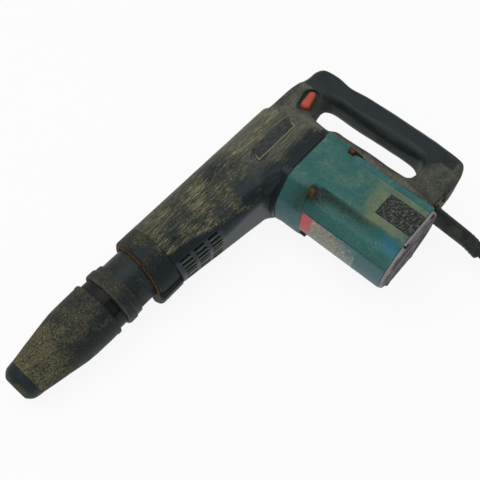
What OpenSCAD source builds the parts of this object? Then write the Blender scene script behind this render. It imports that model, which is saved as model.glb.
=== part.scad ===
// Electric demolition hammer with a D handle, laid on its right side on a floor.
// Parts are drawn in the tool's own frame: x runs back along the barrel, y up the tool, z to its left.
// The motor axis is the y axis and the barrel axis is the x axis. lie() then sets the tool on the floor.

/* [Front end] */
// Diameter of the bore that takes the tool shank
bore_d = 18; // [16:0.5:19]
// Depth of that bore
bore_depth = 92; // [85:1:96]
// Diameter of the tool holder inside the sleeve
holder_d = 30; // [28:0.5:32]
// Diameter of the tool holder's flange between sleeve and ring
flange_d = 56.6; // [54:0.2:57]
// Length of the flange inside the sleeve
flange_in = 16; // [12:1:18]
// Length of the rubber nose cap
cap_l = 11.7; // [10:0.1:14]
// Thickness of the nose cap's front wall
cap_face = 5; // [4:0.5:6]
// Diameter of the nose cap at its shoulder
cap_d = 36; // [35:0.5:38]
// Diameter of the sleeve's front end
sleeve_tip_d = 41; // [40:0.5:44]
// Diameter of the sleeve's round part
sleeve_d = 61.7; // [60.5:0.1:64]
// Length of the sleeve's cone
sleeve_cone_l = 54; // [50:1:60]
// Length of the sleeve's round part
sleeve_cyl_l = 38; // [35:1:44]
// How far the sleeve pulls back
sleeve_travel = 6; // [4:0.5:6]
// Width of the groove between sleeve and angle ring
groove_w = 11; // [10:0.5:14]
// Diameter of the angle ring
ring_d = 64; // [62:0.5:66]
// Width of the angle ring
ring_w = 18.7; // [16:0.1:22]
// Diameter of a lock roller
roller_d = 7; // [6:0.5:8]
// Length of a lock roller
roller_l = 16; // [12:1:18]
// Wire of the sleeve spring
sleeve_wire = 2.4; // [1.8:0.2:2.8]

/* [Barrel] */
// Distance from the motor axis to the front of the barrel cover
cover_reach = 178; // [170:1:190]
// Diameter of the barrel's bare neck, where a side grip clamps
neck_d = 57; // [56:0.2:58]
// Length of the bare neck
neck_l = 28; // [24:1:32]
// Thickness of the steel ring at the back of the neck
neck_ring_t = 2.5; // [2:0.5:4]
// Diameter of that ring
neck_ring_d = 62; // [60:0.5:64]
// Diameter of the tool holder's tail in the barrel
tail_d = 40; // [38:0.5:42]
// Length of the tail
tail_l = 70; // [66:1:74]
// Diameter of the impact bolt's body
bolt_d = 28; // [26:0.5:30]
// Diameter of the impact bolt's stem
stem_d = 15; // [13:0.5:15.5]
// Length of the stem's guide
stem_l = 48; // [44:1:50]
// Travel of the impact bolt
bolt_travel = 10; // [6:0.5:11]
// Diameter of the impact bolt's back end
bolt_tail_d = 20; // [16:0.5:22]
// Length of the rubber damper behind the tool holder
damper_l = 6; // [4:0.5:8]
// Outer diameter of the cylinder
cylinder_od = 47; // [46:0.5:49]
// Diameter of the striker and the piston
striker_d = 38; // [36:0.5:40]
// Length of the striker
striker_l = 28; // [24:1:30]
// Travel of the striker
striker_travel = 10; // [6:0.5:11]

/* [Cover] */
// Diameter of the collar and of the cover's front
collar_d = 72; // [70:0.5:76]
// Length of the collar
collar_l = 20; // [16:1:26]
// Width of the collar's slit
collar_slit = 2; // [1:0.5:3]
// Wall of the cover
cover_wall = 3; // [2:0.2:3.4]
// Half width of the cover beside the motor
cover_half_w = 43; // [42:0.5:46]
// Depth of the cover's belly under the barrel axis
cover_depth = 52; // [51:0.5:56]
// Radius of the belly's corners
cover_corner_r = 12; // [8:1:16]
// Number of vent slots on each side of the belly in one column
vent_rows = 5; // [3:1:6]
// Number of vent columns
vent_cols = 3; // [2:1:3]
// Length of a vent slot
vent_l = 13; // [10:1:14]
// Width of a vent slot
vent_w = 2; // [1.5:0.1:2.4]
// Length of the badge plate
badge_l = 60; // [40:1:62]
// Height of the badge plate
badge_h = 18; // [12:1:20]

/* [Drive] */
// Module of the gear teeth
gear_module = 0.9; // [0.85:0.05:0.95]
// Teeth of the pinion
pinion_teeth = 12; // [11:1:13]
// Teeth of the crank gear
gear_teeth = 60; // [56:1:62]
// Width of the crank gear
gear_w = 8; // [6:0.5:9]
// Throw of the crank
crank_r = 10; // [8:0.5:11]
// Radius of the crank's web
web_r = 18; // [17:0.5:19]
// Diameter of the crank pin
crank_pin_d = 11; // [9:0.5:12]
// Diameter of the crank's journal
journal_d = 16; // [14:0.5:18]
// Outer diameter of the crank bearing
crank_bearing_d = 32; // [30:0.5:34]
// Centre distance of the connecting rod
rod_l = 50; // [46:1:54]
// Diameter of the piston pin
piston_pin_d = 8; // [7:0.5:9]
// Wall of the crank housing
housing_wall = 4; // [3:0.2:4.4]

/* [Motor] */
// Distance from the barrel axis to the top of the motor housing
motor_drop = 55; // [54.5:0.5:60]
// Length of the motor housing
motor_l = 136; // [132:1:142]
// Height of the motor housing's flange
motor_flange_h = 29; // [26:1:32]
// Half width of the motor housing over its flat sides
motor_half_w = 49; // [48.8:0.1:51]
// Distance from the flat sides in to the round of the motor housing
motor_round = 1.4; // [0.4:0.2:2]
// Half length of the flat sides
motor_flat = 25; // [22:0.5:27]
// Wall of the motor housing between its round and its bore
motor_wall = 3.6; // [3.2:0.1:4]
// Radius of the flange
motor_flange_r = 52.5; // [51:0.5:54]
// Distance of a motor bolt from the motor axis along the barrel
bolt_x = 33; // [31:0.5:35]
// Distance of a motor bolt's axis in from the flat side
bolt_side = 7; // [6:0.5:9]
// Diameter of a motor bolt
motor_bolt_d = 6; // [5:0.5:6.5]
// Diameter of a motor bolt's head
motor_bolt_head = 10; // [9:0.5:11]
// Length of the stator stack
stack_l = 52; // [46:1:56]
// Radius of the armature core
armature_r = 25.4; // [24:0.2:27]
// Air gap between armature and stator
air_gap = 0.6; // [0.4:0.1:1]
// Diameter of the armature shaft
shaft_d = 10; // [9:0.5:10.5]
// Radius of the commutator
commutator_r = 14; // [13:0.5:16]
// Radius of the fan
fan_r = 40; // [36:0.5:42]
// Number of fan blades
fan_blades = 12; // [8:1:16]
// Half width of a brush cover
brush_cover_w = 14; // [12:0.5:15]
// Height of a brush cover
brush_cover_h = 40; // [36:1:42]
// Thickness of a brush cover
brush_cover_t = 2.6; // [2:0.2:2.8]
// Thickness of the rear cover
rear_cover_t = 9; // [7:0.5:11]
// Thickness of the rating label
label_t = 0.4; // [0.3:0.1:0.6]
// Height of the rating label
label_h = 70; // [60:1:74]

/* [Handle] */
// Distance from the motor axis to the seam between cover and handle
seam_x = 30; // [28:0.5:31]
// Distance from the motor axis to the front of the hand hole
hole_x = 57; // [56:0.5:60]
// Length of the hand hole along the barrel
hole_w = 38; // [34:1:44]
// Top of the hand hole under the barrel axis
hole_top = 14; // [12:0.5:16]
// Height of the hand hole
hole_h = 126; // [118:1:132]
// Depth of the grip along the barrel
grip_d = 33; // [30:0.5:36]
// Half width of the grip across the tool
grip_half = 18; // [16:0.5:20]
// Height of the handle's top above the barrel axis at the seam
arm_top = 35; // [33:0.5:35.5]
// Height of the handle's top above the barrel axis at its back
back_top = 22; // [18:0.5:24]
// Half width of the handle's top arm
arm_half = 25; // [22:0.5:27]
// Height of the block under the hand hole
block_h = 46; // [42:1:48]
// Length of the switch lever
lever_l = 26; // [22:0.5:28]
// Width of the switch lever
lever_w = 10; // [8:0.5:11]
// Travel of the switch lever across the tool
lever_travel = 6; // [4:0.5:7]

/* [Cord] */
// Diameter of the cord
cord_d = 9; // [8:0.5:10]
// Diameter of the cord guard where it leaves the handle
guard_d = 15; // [13:0.5:16]
// Length of the cord guard outside the handle
guard_l = 60; // [50:1:64]
// Turns of the coil in one layer
coil_turns = 3; // [2:0.5:3]
// Mean radius of the coil
coil_r = 52; // [48:1:56]

/* [Hidden] */
$fn = 64;
hull_fn = 32;
// Sides of a swept wire or cord
wire_sides = 6;
curl_rings = 12;
cord_sides = 10;
eps = 1;
// Radial clearance of a running fit, of a fixed fit, and the gap between faces that pass each other
run_gap = 0.05;
seat_gap = 0.05;
face_gap = 0.3;

// Stations along the barrel axis, from the cover forward to the nose
x_cover_front = -cover_reach;
x_collar_front = x_cover_front - collar_l;
x_neck_front = x_collar_front - neck_l;
x_ring_back = x_neck_front - face_gap;
x_ring_front = x_ring_back - ring_w;
x_sleeve_back = x_ring_front - groove_w;
x_kink = x_sleeve_back - sleeve_cyl_l;
x_sleeve_front = x_kink - sleeve_cone_l;
x_cap_back = x_sleeve_front - face_gap;
x_tip = x_cap_back - cap_l;

// Tool holder, its rollers and the sleeve round it
x_holder_front = x_tip + cap_face;
x_flange_front = x_sleeve_back - flange_in;
x_flange_back = x_neck_front - face_gap;
x_tail_back = x_neck_front + tail_l;
x_bore_end = x_holder_front + bore_depth;
x_bolt_step = x_bore_end + stem_l;
roller_rim = 0.1;
roller_c = bore_d / 2 + roller_rim + roller_d / 2;
roller_inset = 10;
x_roller = x_sleeve_front + roller_inset;
sleeve_mouth_r = max(holder_d / 2, roller_c + roller_d / 2) + face_gap;
web_t = 5;
roller_end = 2;
x_web_front = x_roller + roller_l + sleeve_travel + roller_end;
x_web_back = x_web_front + web_t;
spring_air = 1;
sleeve_spring_r = holder_d / 2 + spring_air + sleeve_wire / 2;
spring_room_r = sleeve_spring_r + sleeve_wire / 2 + spring_air;
seat_t = 3;
x_seat_front = x_flange_front - seat_t;
x_guide_front = x_flange_front - sleeve_travel - seat_t;
sleeve_lip = 0.6;
sleeve_lip_w = 4;
clip_t = 1.5;
clip_deep = 1;
clip_proud = 1.5;
x_clip = x_holder_front + clip_t;
window_w = 16;
window_deep = 4;
window_rim = 1;
window_turn = 40;

// Impact bolt, damper, cylinder and striker
bolt_air = 2;
x_bolt_front = x_bolt_step + bolt_travel + face_gap;
x_bolt_back = x_tail_back - bolt_air;
x_damper_front = x_tail_back + face_gap;
x_cylinder_front = x_damper_front + damper_l;
x_bolt_tail = x_cylinder_front + bolt_air;
x_striker_front = x_bolt_tail + striker_travel + face_gap;
x_striker_back = x_striker_front + striker_l;
seal_w = 3;
seal_deep = 2.5;
x_seal = x_striker_front + striker_l / 2;

// Gear pair, crank, rod and piston
gear_pitch_r = gear_module * gear_teeth / 2;
pinion_pitch_r = gear_module * pinion_teeth / 2;
crank_x = -(gear_pitch_r + pinion_pitch_r);
pressure_angle = 20;
addendum = 0.8 * gear_module;
dedendum = 1.3 * gear_module;
tooth_thin = 0.86;
gear_tip_r = gear_pitch_r + addendum;
// A tooth of the pinion points at the crank when its count is even, and then a gap of the gear meets it
gear_turn = pinion_teeth % 2 == 0 ? 180 / gear_teeth : 0;
crank_pin_x = crank_x + crank_r;
piston_pin_x = crank_pin_x - rod_l;
piston_crown = 15;
piston_skirt = 9;
x_piston_front = piston_pin_x - piston_crown;
x_piston_back = piston_pin_x + piston_skirt;
rod_eye = 3.2;
rod_big_r = crank_pin_d / 2 + rod_eye;
rod_small_r = piston_pin_d / 2 + rod_eye;
rod_half_t = 5;
rod_half_shank = 4;

// Levels along the motor axis near the crank
crank_air = 2;
crank_web_h = 8;
web_top = -rod_half_t - crank_air;
web_bottom = web_top - crank_web_h;
floor_top = web_bottom - crank_air;
bearing_w = 9;
bearing_sink = 3;
bearing_top = floor_top - bearing_sink;
bearing_bottom = bearing_top - bearing_w;
lobe_t = 3;
lobe_lift = 1.2;
plate_t = 8;
plate_top = -motor_drop + plate_t;
pocket_bottom = plate_top + lobe_t;
gear_lift = 1;
gear_bottom = pocket_bottom + gear_lift;
gear_top = gear_bottom + gear_w;
pocket_air = 1.5;
shaft_air = 3;
pocket_top = gear_top + pocket_air;
pocket_r = gear_tip_r + pocket_air;
pinion_room_r = pinion_pitch_r + addendum + pocket_air;
journal_step = 2.5;
stub_d = 10;
stub_in = 5;
x_housing_in = crank_x - web_r - crank_air;
x_housing_front = x_housing_in - housing_wall;
x_chamber_back = crank_pin_x + rod_big_r + crank_air;
chamber_r = 27;

// Cover and handle stations
collar_r = collar_d / 2;
x_flare = -56;
flare_in = 8;
flare_step = 0.4;
skirt_in = 2;
vent_pitch_a = 6.5;
vent_first_a = 5;
vent_gap_x = 5;
vent_x0 = x_cover_front + 6;
vent_deep = 12;
badge_t = 1;
badge_sink = 0.4;
badge_back_gap = 2;
badge_mid_y = -10;
badge_slant = 7;
badge_edge = 1;
badge_mid_x = seam_x - badge_back_gap - badge_edge - (badge_l + badge_slant) / 2;

// Levels along the motor axis
motor_top = -motor_drop;
motor_bottom = motor_top - motor_l;
flange_bottom = motor_top - motor_flange_h;
label_drop = 3;
rear_bottom = motor_bottom - rear_cover_t;
motor_r = motor_half_w - motor_round;
motor_bore_r = motor_r - motor_wall;
bolt_edge = 5;
bolt_z = motor_half_w - bolt_side;
bolt_head_h = 6;
bolt_room = 1;
plate_boss_d = 34;
fan_h = 14;
fan_air = 3;
top_bearing_w = 9;
top_bearing_d = 26;
top_bearing_sink = 5.5;
top_bearing_top = plate_top - top_bearing_sink;
top_bearing_bottom = top_bearing_top - top_bearing_w;
boss_lip = 0.5;
boss_bottom = top_bearing_bottom - boss_lip;
fan_top = boss_bottom - fan_air;
baffle_t = 2;
baffle_air = 2;
baffle_top = fan_top - fan_h - baffle_air;
winding_h = 8;
winding_air = 2;
stack_top = baffle_top - baffle_t - winding_h - baffle_air;
stack_bottom = stack_top - stack_l;
core_inset = 1;
arm_winding_h = 8;
commutator_air = 4;
commutator_top = stack_bottom - winding_h - commutator_air;
commutator_h = 16;
brush_y = commutator_top - commutator_h / 2;
low_bearing_w = 8;
low_bearing_d = 19;
low_shaft_d = 8;
low_bearing_lift = 3;
low_bearing_bottom = motor_bottom + low_bearing_lift;
low_bearing_top = low_bearing_bottom + low_bearing_w;
low_boss_d = 26;
rear_screw_x = 22;
rear_screw_side = 5;
rear_screw_z = motor_half_w - rear_screw_side;
rear_screw_d = 4;
rear_screw_head = 7;
rear_screw_in = 12;
rear_head_seat = 3;

// Brush gear
brush_t = 6;
brush_h = 9;
holder_wall = 1.2;
brush_gap = 0.3;
brush_l = 15;
brush_spring_wire = 0.8;
brush_spring_r = 2.4;
brush_spring_curls = 5;
cap_t = 2;
holder_z0 = commutator_r + cap_t;
cover_floor_z = motor_half_w - brush_cover_t - face_gap;
brush_cover_lift = 1.3;
brush_cover_y = motor_bottom + brush_cover_lift;
brush_cap_z = cover_floor_z - cap_t;

// Handle
lower_top = -hole_top - hole_h;
block_bottom = lower_top - block_h;
grip_x0 = hole_x + hole_w;
grip_x1 = grip_x0 + grip_d;
grip_seam_x = 90;
back_step = 4;
arm_rise = 4;
arm_fall = 2;
strip_step = 2;
spine_step = 8;
spine_x = bolt_x + spine_step;
frame_edge = 8;
grip_edge = 10;
lever_x = 73;
recess_deep = 5;
recess_air = 3;
lever_lip = 0.5;
lever_half = arm_half - recess_deep + lever_travel / 2 + lever_lip;
switch_half = 12;
switch_in = 6;
switch_half_l = lever_l / 2 - switch_in;
switch_h = 13;
screw_ys = [-24, -40];
screw_z = 14;
handle_screw_d = 5;
handle_screw_head = 9;
handle_head_h = 4;
screw_seat = 6;
tab_l = 22;
tab_w = 12;
tab_shift = 4;
tab_x = hole_x + tab_shift;
tab_t = 2;
tab_air = 2;
tab_z = guard_d / 2 + tab_air;
clamp_screw_d = 3.5;
clamp_head_h = 2;

// Rest pose: the sleeve's shoulder and the edge of the motor's flat side touch the floor
lie_a = atan((motor_half_w - sleeve_d / 2) / (-x_kink - motor_flat));
rest_h = motor_half_w * cos(lie_a) + motor_flat * sin(lie_a);
row_x = -(x_tip + grip_x1 + back_step) / 2 * cos(lie_a);
row_y = -(collar_r + rear_bottom) / 2;
function lie_p(p) = [
    p.x * cos(lie_a) - p.z * sin(lie_a) + row_x,
    p.y + row_y,
    p.x * sin(lie_a) + p.z * cos(lie_a) + rest_h
];

// Cord: it leaves the handle through the guard, droops to the floor and runs into its coil
guard_step = 2;
guard_x = hole_x + guard_step;
guard_in = 10;
guard_drop = 25;
guard_yaw = 8;
guard_lip = 3.5;
guard_tip_d = cord_d + guard_lip;
guard_dir = [sin(guard_yaw) * cos(guard_drop), -cos(guard_yaw) * cos(guard_drop), -sin(guard_drop)];
guard_tip = lie_p([guard_x, block_bottom, 0] + guard_l * guard_dir);
tie_t = 1.2;
coil_floor = cord_d / 2 + tie_t + 2 * face_gap;
// Lead from the guard's tip: run along x, run along y, share of the drop to the floor
lead_steps = [
    [0, 0, 0], [1.4, -10, 0.2], [2.8, -20, 0.38], [4.1, -30, 0.54], [5.3, -40, 0.68],
    [6.4, -50, 0.8], [7.3, -60, 0.89], [8, -70, 0.95], [8.5, -80, 0.985], [8.8, -90, 1],
    [9, -100, 1], [9, -110, 1]
];
lead_drop = coil_floor - guard_tip.z;
lead_route = [for (s = lead_steps) guard_tip + [s.x, s.y, s.z * lead_drop]];
lead_end = lead_route[len(lead_route) - 1];
cord_gap = 0.7;
turn_step = cord_d + cord_gap;
layer_step = cord_d + cord_gap;
coil_layers = 4;
coil_out_r = coil_r + coil_turns * turn_step / 2;
coil_c = [lead_end.x + coil_out_r, lead_end.y, 0];
loop_rings = 24;
coil_n = coil_layers * coil_turns * loop_rings;
// Distance inward along the spiral: down to the inner radius and back, layer by layer
function fold(t) = let (k = floor(t / coil_turns), f = t - k * coil_turns) k % 2 == 0 ? f : coil_turns - f;
function ease(t) = t <= 0 ? 0 : t >= 1 ? 1 : t * t * (3 - 2 * t);
// Layers climbed: each climb takes the half turn round the place where the spiral reverses
function climb(t) = ease(2 * (t - coil_turns) + 0.5) + ease(2 * (t - 2 * coil_turns) + 0.5)
    + ease(2 * (t - 3 * coil_turns) + 0.5);
function coil_p(t) = let (r = coil_out_r - turn_step * fold(t), a = 180 + 360 * t)
    coil_c + [r * cos(a), r * sin(a), coil_floor + layer_step * climb(t)];
// The last millimetre at each joint of the cord runs straight along y
cord_joint = [0, 1, 0];
coil_start = coil_p(0);
coil_end = coil_p(coil_layers * coil_turns);
coil_route = concat(
    [coil_start, coil_start - cord_joint], [for (i = [1:coil_n - 1]) coil_p(i / loop_rings)],
    [coil_end + cord_joint, coil_end]
);
// Tail from the coil's end down to the plug: angle on round the coil, step outward, share of the drop
tail_steps = [
    [0, 0, 0], [8, 0.5, 0], [20, 2, 0.03], [35, 4.5, 0.12], [50, 7, 0.25], [65, 9, 0.4],
    [80, 10.5, 0.55], [95, 11.5, 0.69], [110, 12, 0.81], [125, 12, 0.9], [140, 12, 0.96],
    [155, 12, 0.99], [168, 12, 1], [180, 12, 1]
];
plug_h = 20;
plug_z = plug_h / 2;
tail_drop = plug_z - coil_end.z;
tail_turn = 180 + 360 * coil_layers * coil_turns;
function tail_p(s) = coil_c + [
    (coil_out_r + s.y) * cos(tail_turn + s.x),
    (coil_out_r + s.y) * sin(tail_turn + s.x),
    coil_end.z + s.z * tail_drop
];
plug_at = tail_p(tail_steps[len(tail_steps) - 1]);
tail_route = concat(
    [coil_end, coil_end - cord_joint], [for (i = [1:len(tail_steps) - 2]) tail_p(tail_steps[i])],
    [plug_at - cord_joint, plug_at]
);
plug_l = 38;
plug_w = 28;
plug_neck_l = 26;
blade_l = 18;
blade_w = 6.3;
blade_t = 1.5;
blade_gap = 12.7;

// Least distance between turns of a winding, less its own thickness, from points two thirds of a turn on
function winding_gap(p, per, d) = min([
    for (i = [0:len(p) - 1], j = [i + floor(per * 2 / 3):1:len(p) - 1]) norm(p[i] - p[j])
]) - d;
echo(coil_gap = winding_gap(coil_route, loop_rings, cord_d));

// Shared shapes
module lie() {
    translate([row_x, row_y, rest_h]) rotate([0, -lie_a, 0]) children();
}
module rod_x(x0, x1, d) {
    translate([x0, 0, 0]) rotate([0, 90, 0]) cylinder(h = x1 - x0, d = d);
}
module pipe_x(x0, x1, od, id) {
    difference() {
        rod_x(x0, x1, od);
        rod_x(x0 - eps, x1 + eps, id);
    }
}
module turn_x(points) {
    rotate([0, 90, 0]) rotate_extrude() polygon(points);
}
module rod_y(x, z, y0, y1, d) {
    translate([x, y0, z]) rotate([-90, 0, 0]) cylinder(h = y1 - y0, d = d);
}
module pipe_y(x, z, y0, y1, od, id) {
    difference() {
        rod_y(x, z, y0, y1, od);
        rod_y(x, z, y0 - eps, y1 + eps, id);
    }
}
module block(x0, x1, y0, y1, z0, z1) {
    translate([x0, y0, z0]) cube([x1 - x0, y1 - y0, z1 - z0]);
}
// Extrudes an outline drawn in y and z along the barrel, or one drawn in x and z along the motor axis
module prism_x(x0, x1) {
    translate([x0, 0, 0]) rotate([90, 0, 90]) linear_extrude(x1 - x0) children();
}
module prism_y(y0, y1) {
    translate([0, y1, 0]) rotate([90, 0, 0]) linear_extrude(y1 - y0) children();
}
module round_box(a0, a1, b0, b1, r) {
    hull() for (a = [a0 + r, a1 - r], b = [b0 + r, b1 - r]) translate([a, b]) circle(r, $fn = hull_fn);
}
module both_sides() {
    children();
    mirror([0, 0, 1]) children();
}

// Tubes swept along a list of points
function unit(v) = v / norm(v);
function along(p, i) = unit(p[min(i + 1, len(p) - 1)] - p[max(i - 1, 0)]);
function ring(c, t, ref, r, m) = let (s = unit(cross(t, ref)), u = cross(s, t))
    [for (k = [0:m - 1]) c + r * (cos(360 * k / m) * s + sin(360 * k / m) * u)];
module tube(p, d, m, ref) {
    n = len(p);
    pts = [for (i = [0:n - 1]) each ring(p[i], along(p, i), ref, d / 2, m)];
    sides = [
        for (i = [0:n - 2], k = [0:m - 1]) let (a = i * m + k, b = i * m + (k + 1) % m)
            each [[a, b, b + m], [a, b + m, a + m]]
    ];
    front = [for (k = [1:m - 2]) [0, k + 1, k]];
    back = [for (k = [1:m - 2]) [(n - 1) * m, (n - 1) * m + k, (n - 1) * m + k + 1]];
    polyhedron(pts, concat(sides, front, back));
}
// Helix along x for the springs
function helix(x0, x1, r, curls) = let (n = curl_rings * curls, step = 360 / curl_rings) [
    for (i = [0:n]) [x0 + (x1 - x0) * i / n, r * cos(step * i), r * sin(step * i)]
];

// Gear outline with involute flanks
function involute(a) = tan(a) - a * PI / 180;
function flank_a(r, pitch_r, teeth) = let (base_r = pitch_r * cos(pressure_angle))
    90 * tooth_thin / teeth
    + (involute(pressure_angle) - involute(r <= base_r ? 0 : acos(base_r / r))) * 180 / PI;
module gear_outline(teeth) {
    pitch_r = gear_module * teeth / 2;
    rises = [-dedendum, -addendum / 2, 0, addendum / 2, addendum];
    radii = [for (h = rises) pitch_r + h];
    up = [for (r = radii) [r, -flank_a(r, pitch_r, teeth)]];
    down = [for (i = [len(radii) - 1:-1:0]) [radii[i], flank_a(radii[i], pitch_r, teeth)]];
    polygon([
        for (t = [0:teeth - 1], q = concat(up, down)) let (a = 360 * t / teeth + q[1])
            [q[0] * cos(a), q[0] * sin(a)]
    ]);
}

// Front end
module nose_cap() {
    mouth_r = bore_d / 2 + 1;
    cap_flat = 2;
    color("#2b2e30") lie() turn_x([
        [mouth_r, x_tip], [mouth_r + cap_flat, x_tip], [cap_d / 2, x_tip + cap_face],
        [sleeve_tip_d / 2, x_cap_back], [holder_d / 2 + seat_gap, x_cap_back],
        [holder_d / 2 + seat_gap, x_clip + clip_t], [holder_d / 2 + clip_proud, x_clip + clip_t],
        [holder_d / 2 + clip_proud, x_clip], [holder_d / 2 + seat_gap, x_clip],
        [holder_d / 2 + seat_gap, x_holder_front], [mouth_r, x_holder_front]
    ]);
}
module cap_ring() {
    color("#8a8f92") lie() pipe_x(
        x_clip + seat_gap, x_clip + clip_t - seat_gap,
        holder_d + 2 * (clip_proud - seat_gap), holder_d - 2 * (clip_deep - seat_gap)
    );
}
module release_sleeve() {
    color("#5d5a49") lie() turn_x([
        [sleeve_mouth_r, x_sleeve_front], [sleeve_tip_d / 2, x_sleeve_front], [sleeve_d / 2, x_kink],
        [sleeve_d / 2, x_sleeve_back - sleeve_lip_w],
        [sleeve_d / 2 + sleeve_lip, x_sleeve_back - sleeve_lip_w + sleeve_lip],
        [sleeve_d / 2 + sleeve_lip, x_sleeve_back - sleeve_lip], [sleeve_d / 2, x_sleeve_back],
        [flange_d / 2 + run_gap, x_sleeve_back], [flange_d / 2 + run_gap, x_guide_front],
        [spring_room_r, x_guide_front], [spring_room_r, x_web_back],
        [holder_d / 2 + run_gap, x_web_back], [holder_d / 2 + run_gap, x_web_front],
        [sleeve_mouth_r, x_web_front]
    ]);
}
module sleeve_spring() {
    spring_end = sleeve_wire / 2 + face_gap;
    spring_curls = 6;
    color("#9a9a96") lie() tube(
        helix(x_web_back + spring_end, x_seat_front - spring_end, sleeve_spring_r, spring_curls),
        sleeve_wire, wire_sides, [1, 0, 0]
    );
}
module spring_seat() {
    color("#77787a") lie() pipe_x(
        x_seat_front, x_flange_front, 2 * (spring_room_r - spring_air), holder_d + 2 * seat_gap
    );
}
module lock_rollers() {
    color("#b4b6b8") lie() for (s = [-1, 1]) translate([0, s * roller_c, 0])
        rod_x(x_roller, x_roller + roller_l, roller_d);
}
module tool_holder() {
    color("#3a3d3f") lie() difference() {
        union() {
            rod_x(x_holder_front, x_flange_front, holder_d);
            rod_x(x_flange_front, x_flange_back, flange_d);
            rod_x(x_flange_back, x_tail_back, tail_d);
        }
        rod_x(x_holder_front - eps, x_bore_end, bore_d);
        rod_x(x_bore_end - eps, x_bolt_step + eps, stem_d + 2 * run_gap);
        rod_x(x_bolt_step, x_tail_back + eps, bolt_d + 2 * run_gap);
        pipe_x(x_clip, x_clip + clip_t, holder_d + eps, holder_d - 2 * clip_deep);
        for (s = [-1, 1]) translate([0, s * roller_c, 0]) {
            rod_x(x_roller - run_gap, x_roller + roller_l + run_gap, roller_d + 2 * (roller_rim + run_gap));
        }
        for (s = [0, 180]) rotate([s + window_turn, 0, 0]) block(
            x_sleeve_back + window_rim, x_ring_front - window_rim, -window_w / 2, window_w / 2,
            flange_d / 2 - window_deep, flange_d
        );
    }
}
module angle_ring() {
    edge = 2;
    color("#2f3233") lie() turn_x([
        [flange_d / 2 + run_gap, x_ring_front], [ring_d / 2 - edge, x_ring_front],
        [ring_d / 2, x_ring_front + edge], [ring_d / 2, x_ring_back - edge],
        [ring_d / 2 - edge, x_ring_back], [flange_d / 2 + run_gap, x_ring_back]
    ]);
}
module impact_bolt() {
    color("#8c8e90") lie() {
        rod_x(x_bore_end + bolt_travel, x_bolt_front, stem_d);
        rod_x(x_bolt_front, x_bolt_back, bolt_d);
        rod_x(x_bolt_back, x_bolt_tail, bolt_tail_d);
    }
}

// Barrel group
module barrel() {
    color("#34383a") lie() difference() {
        rod_x(x_neck_front, x_housing_front, neck_d);
        rod_x(x_neck_front - eps, x_tail_back + eps, tail_d + 2 * run_gap);
        rod_x(x_tail_back, x_housing_front + eps, cylinder_od + 2 * seat_gap);
    }
}
module neck_ring() {
    color("#7a4a22") lie() pipe_x(
        x_collar_front - neck_ring_t, x_collar_front, neck_ring_d, neck_d + 2 * seat_gap
    );
}
module front_collar() {
    edge = 2;
    color("#2c2e2c") lie() difference() {
        turn_x([
            [neck_d / 2 + seat_gap, x_collar_front], [collar_r - edge, x_collar_front],
            [collar_r, x_collar_front + edge], [collar_r, x_cover_front],
            [neck_d / 2 + seat_gap, x_cover_front]
        ]);
        block(
            x_collar_front - eps, x_cover_front + eps, -collar_d, -neck_d / 4,
            -collar_slit / 2, collar_slit / 2
        );
    }
}
module impact_damper() {
    color("#1d1d1d") lie() pipe_x(
        x_damper_front, x_cylinder_front, cylinder_od, bolt_tail_d + 2 * face_gap
    );
}
module cylinder_liner() {
    color("#a2a4a6") lie() pipe_x(x_cylinder_front, x_housing_in, cylinder_od, striker_d + 2 * run_gap);
}
module striker() {
    color("#97999b") lie() difference() {
        rod_x(x_striker_front, x_striker_back, striker_d);
        pipe_x(x_seal - seal_w / 2, x_seal + seal_w / 2, striker_d + eps, striker_d - 2 * seal_deep);
    }
}
module striker_seal() {
    color("#202020") lie() pipe_x(
        x_seal - seal_w / 2 + seat_gap, x_seal + seal_w / 2 - seat_gap,
        striker_d, striker_d - 2 * (seal_deep - seat_gap)
    );
}

// Crank drive
module piston() {
    pocket = 11;
    pocket_end = 1;
    color("#a9abad") lie() difference() {
        rod_x(x_piston_front, x_piston_back, striker_d);
        block(piston_pin_x - rod_small_r - pocket_end, x_piston_back + eps, -rod_half_t - face_gap,
            rod_half_t + face_gap, -pocket, pocket);
        rod_y(piston_pin_x, 0, -striker_d, striker_d, piston_pin_d + 2 * run_gap);
    }
}
module piston_pin() {
    pin_short = 1;
    pin_half = sqrt(pow(striker_d / 2, 2) - pow(piston_pin_d / 2, 2)) - pin_short;
    color("#c0c2c4") lie() rod_y(piston_pin_x, 0, -pin_half, pin_half, piston_pin_d);
}
module connecting_rod() {
    color("#85888a") lie() difference() {
        union() {
            rod_y(piston_pin_x, 0, -rod_half_t, rod_half_t, 2 * rod_small_r);
            rod_y(crank_pin_x, 0, -rod_half_t, rod_half_t, 2 * rod_big_r);
            block(piston_pin_x, crank_pin_x, -rod_half_t, rod_half_t, -rod_half_shank, rod_half_shank);
        }
        rod_y(piston_pin_x, 0, -rod_half_t - eps, rod_half_t + eps, piston_pin_d + 2 * run_gap);
        rod_y(crank_pin_x, 0, -rod_half_t - eps, rod_half_t + eps, crank_pin_d + 2 * run_gap);
    }
}
module crankshaft() {
    color("#7d8082") lie() {
        rod_y(crank_pin_x, 0, web_top - eps, rod_half_t, crank_pin_d);
        rod_y(crank_x, 0, web_bottom, web_top, 2 * web_r);
        rod_y(crank_x, 0, bearing_top, web_bottom + eps, journal_d + 2 * journal_step);
        rod_y(crank_x, 0, gear_bottom, bearing_top + eps, journal_d);
        rod_y(crank_x, 0, pocket_bottom - stub_in, gear_bottom + eps, stub_d);
    }
}
module crank_bearing() {
    color("#b9bbbd") lie() pipe_y(
        crank_x, 0, bearing_bottom, bearing_top, crank_bearing_d, journal_d + 2 * seat_gap
    );
}
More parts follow.
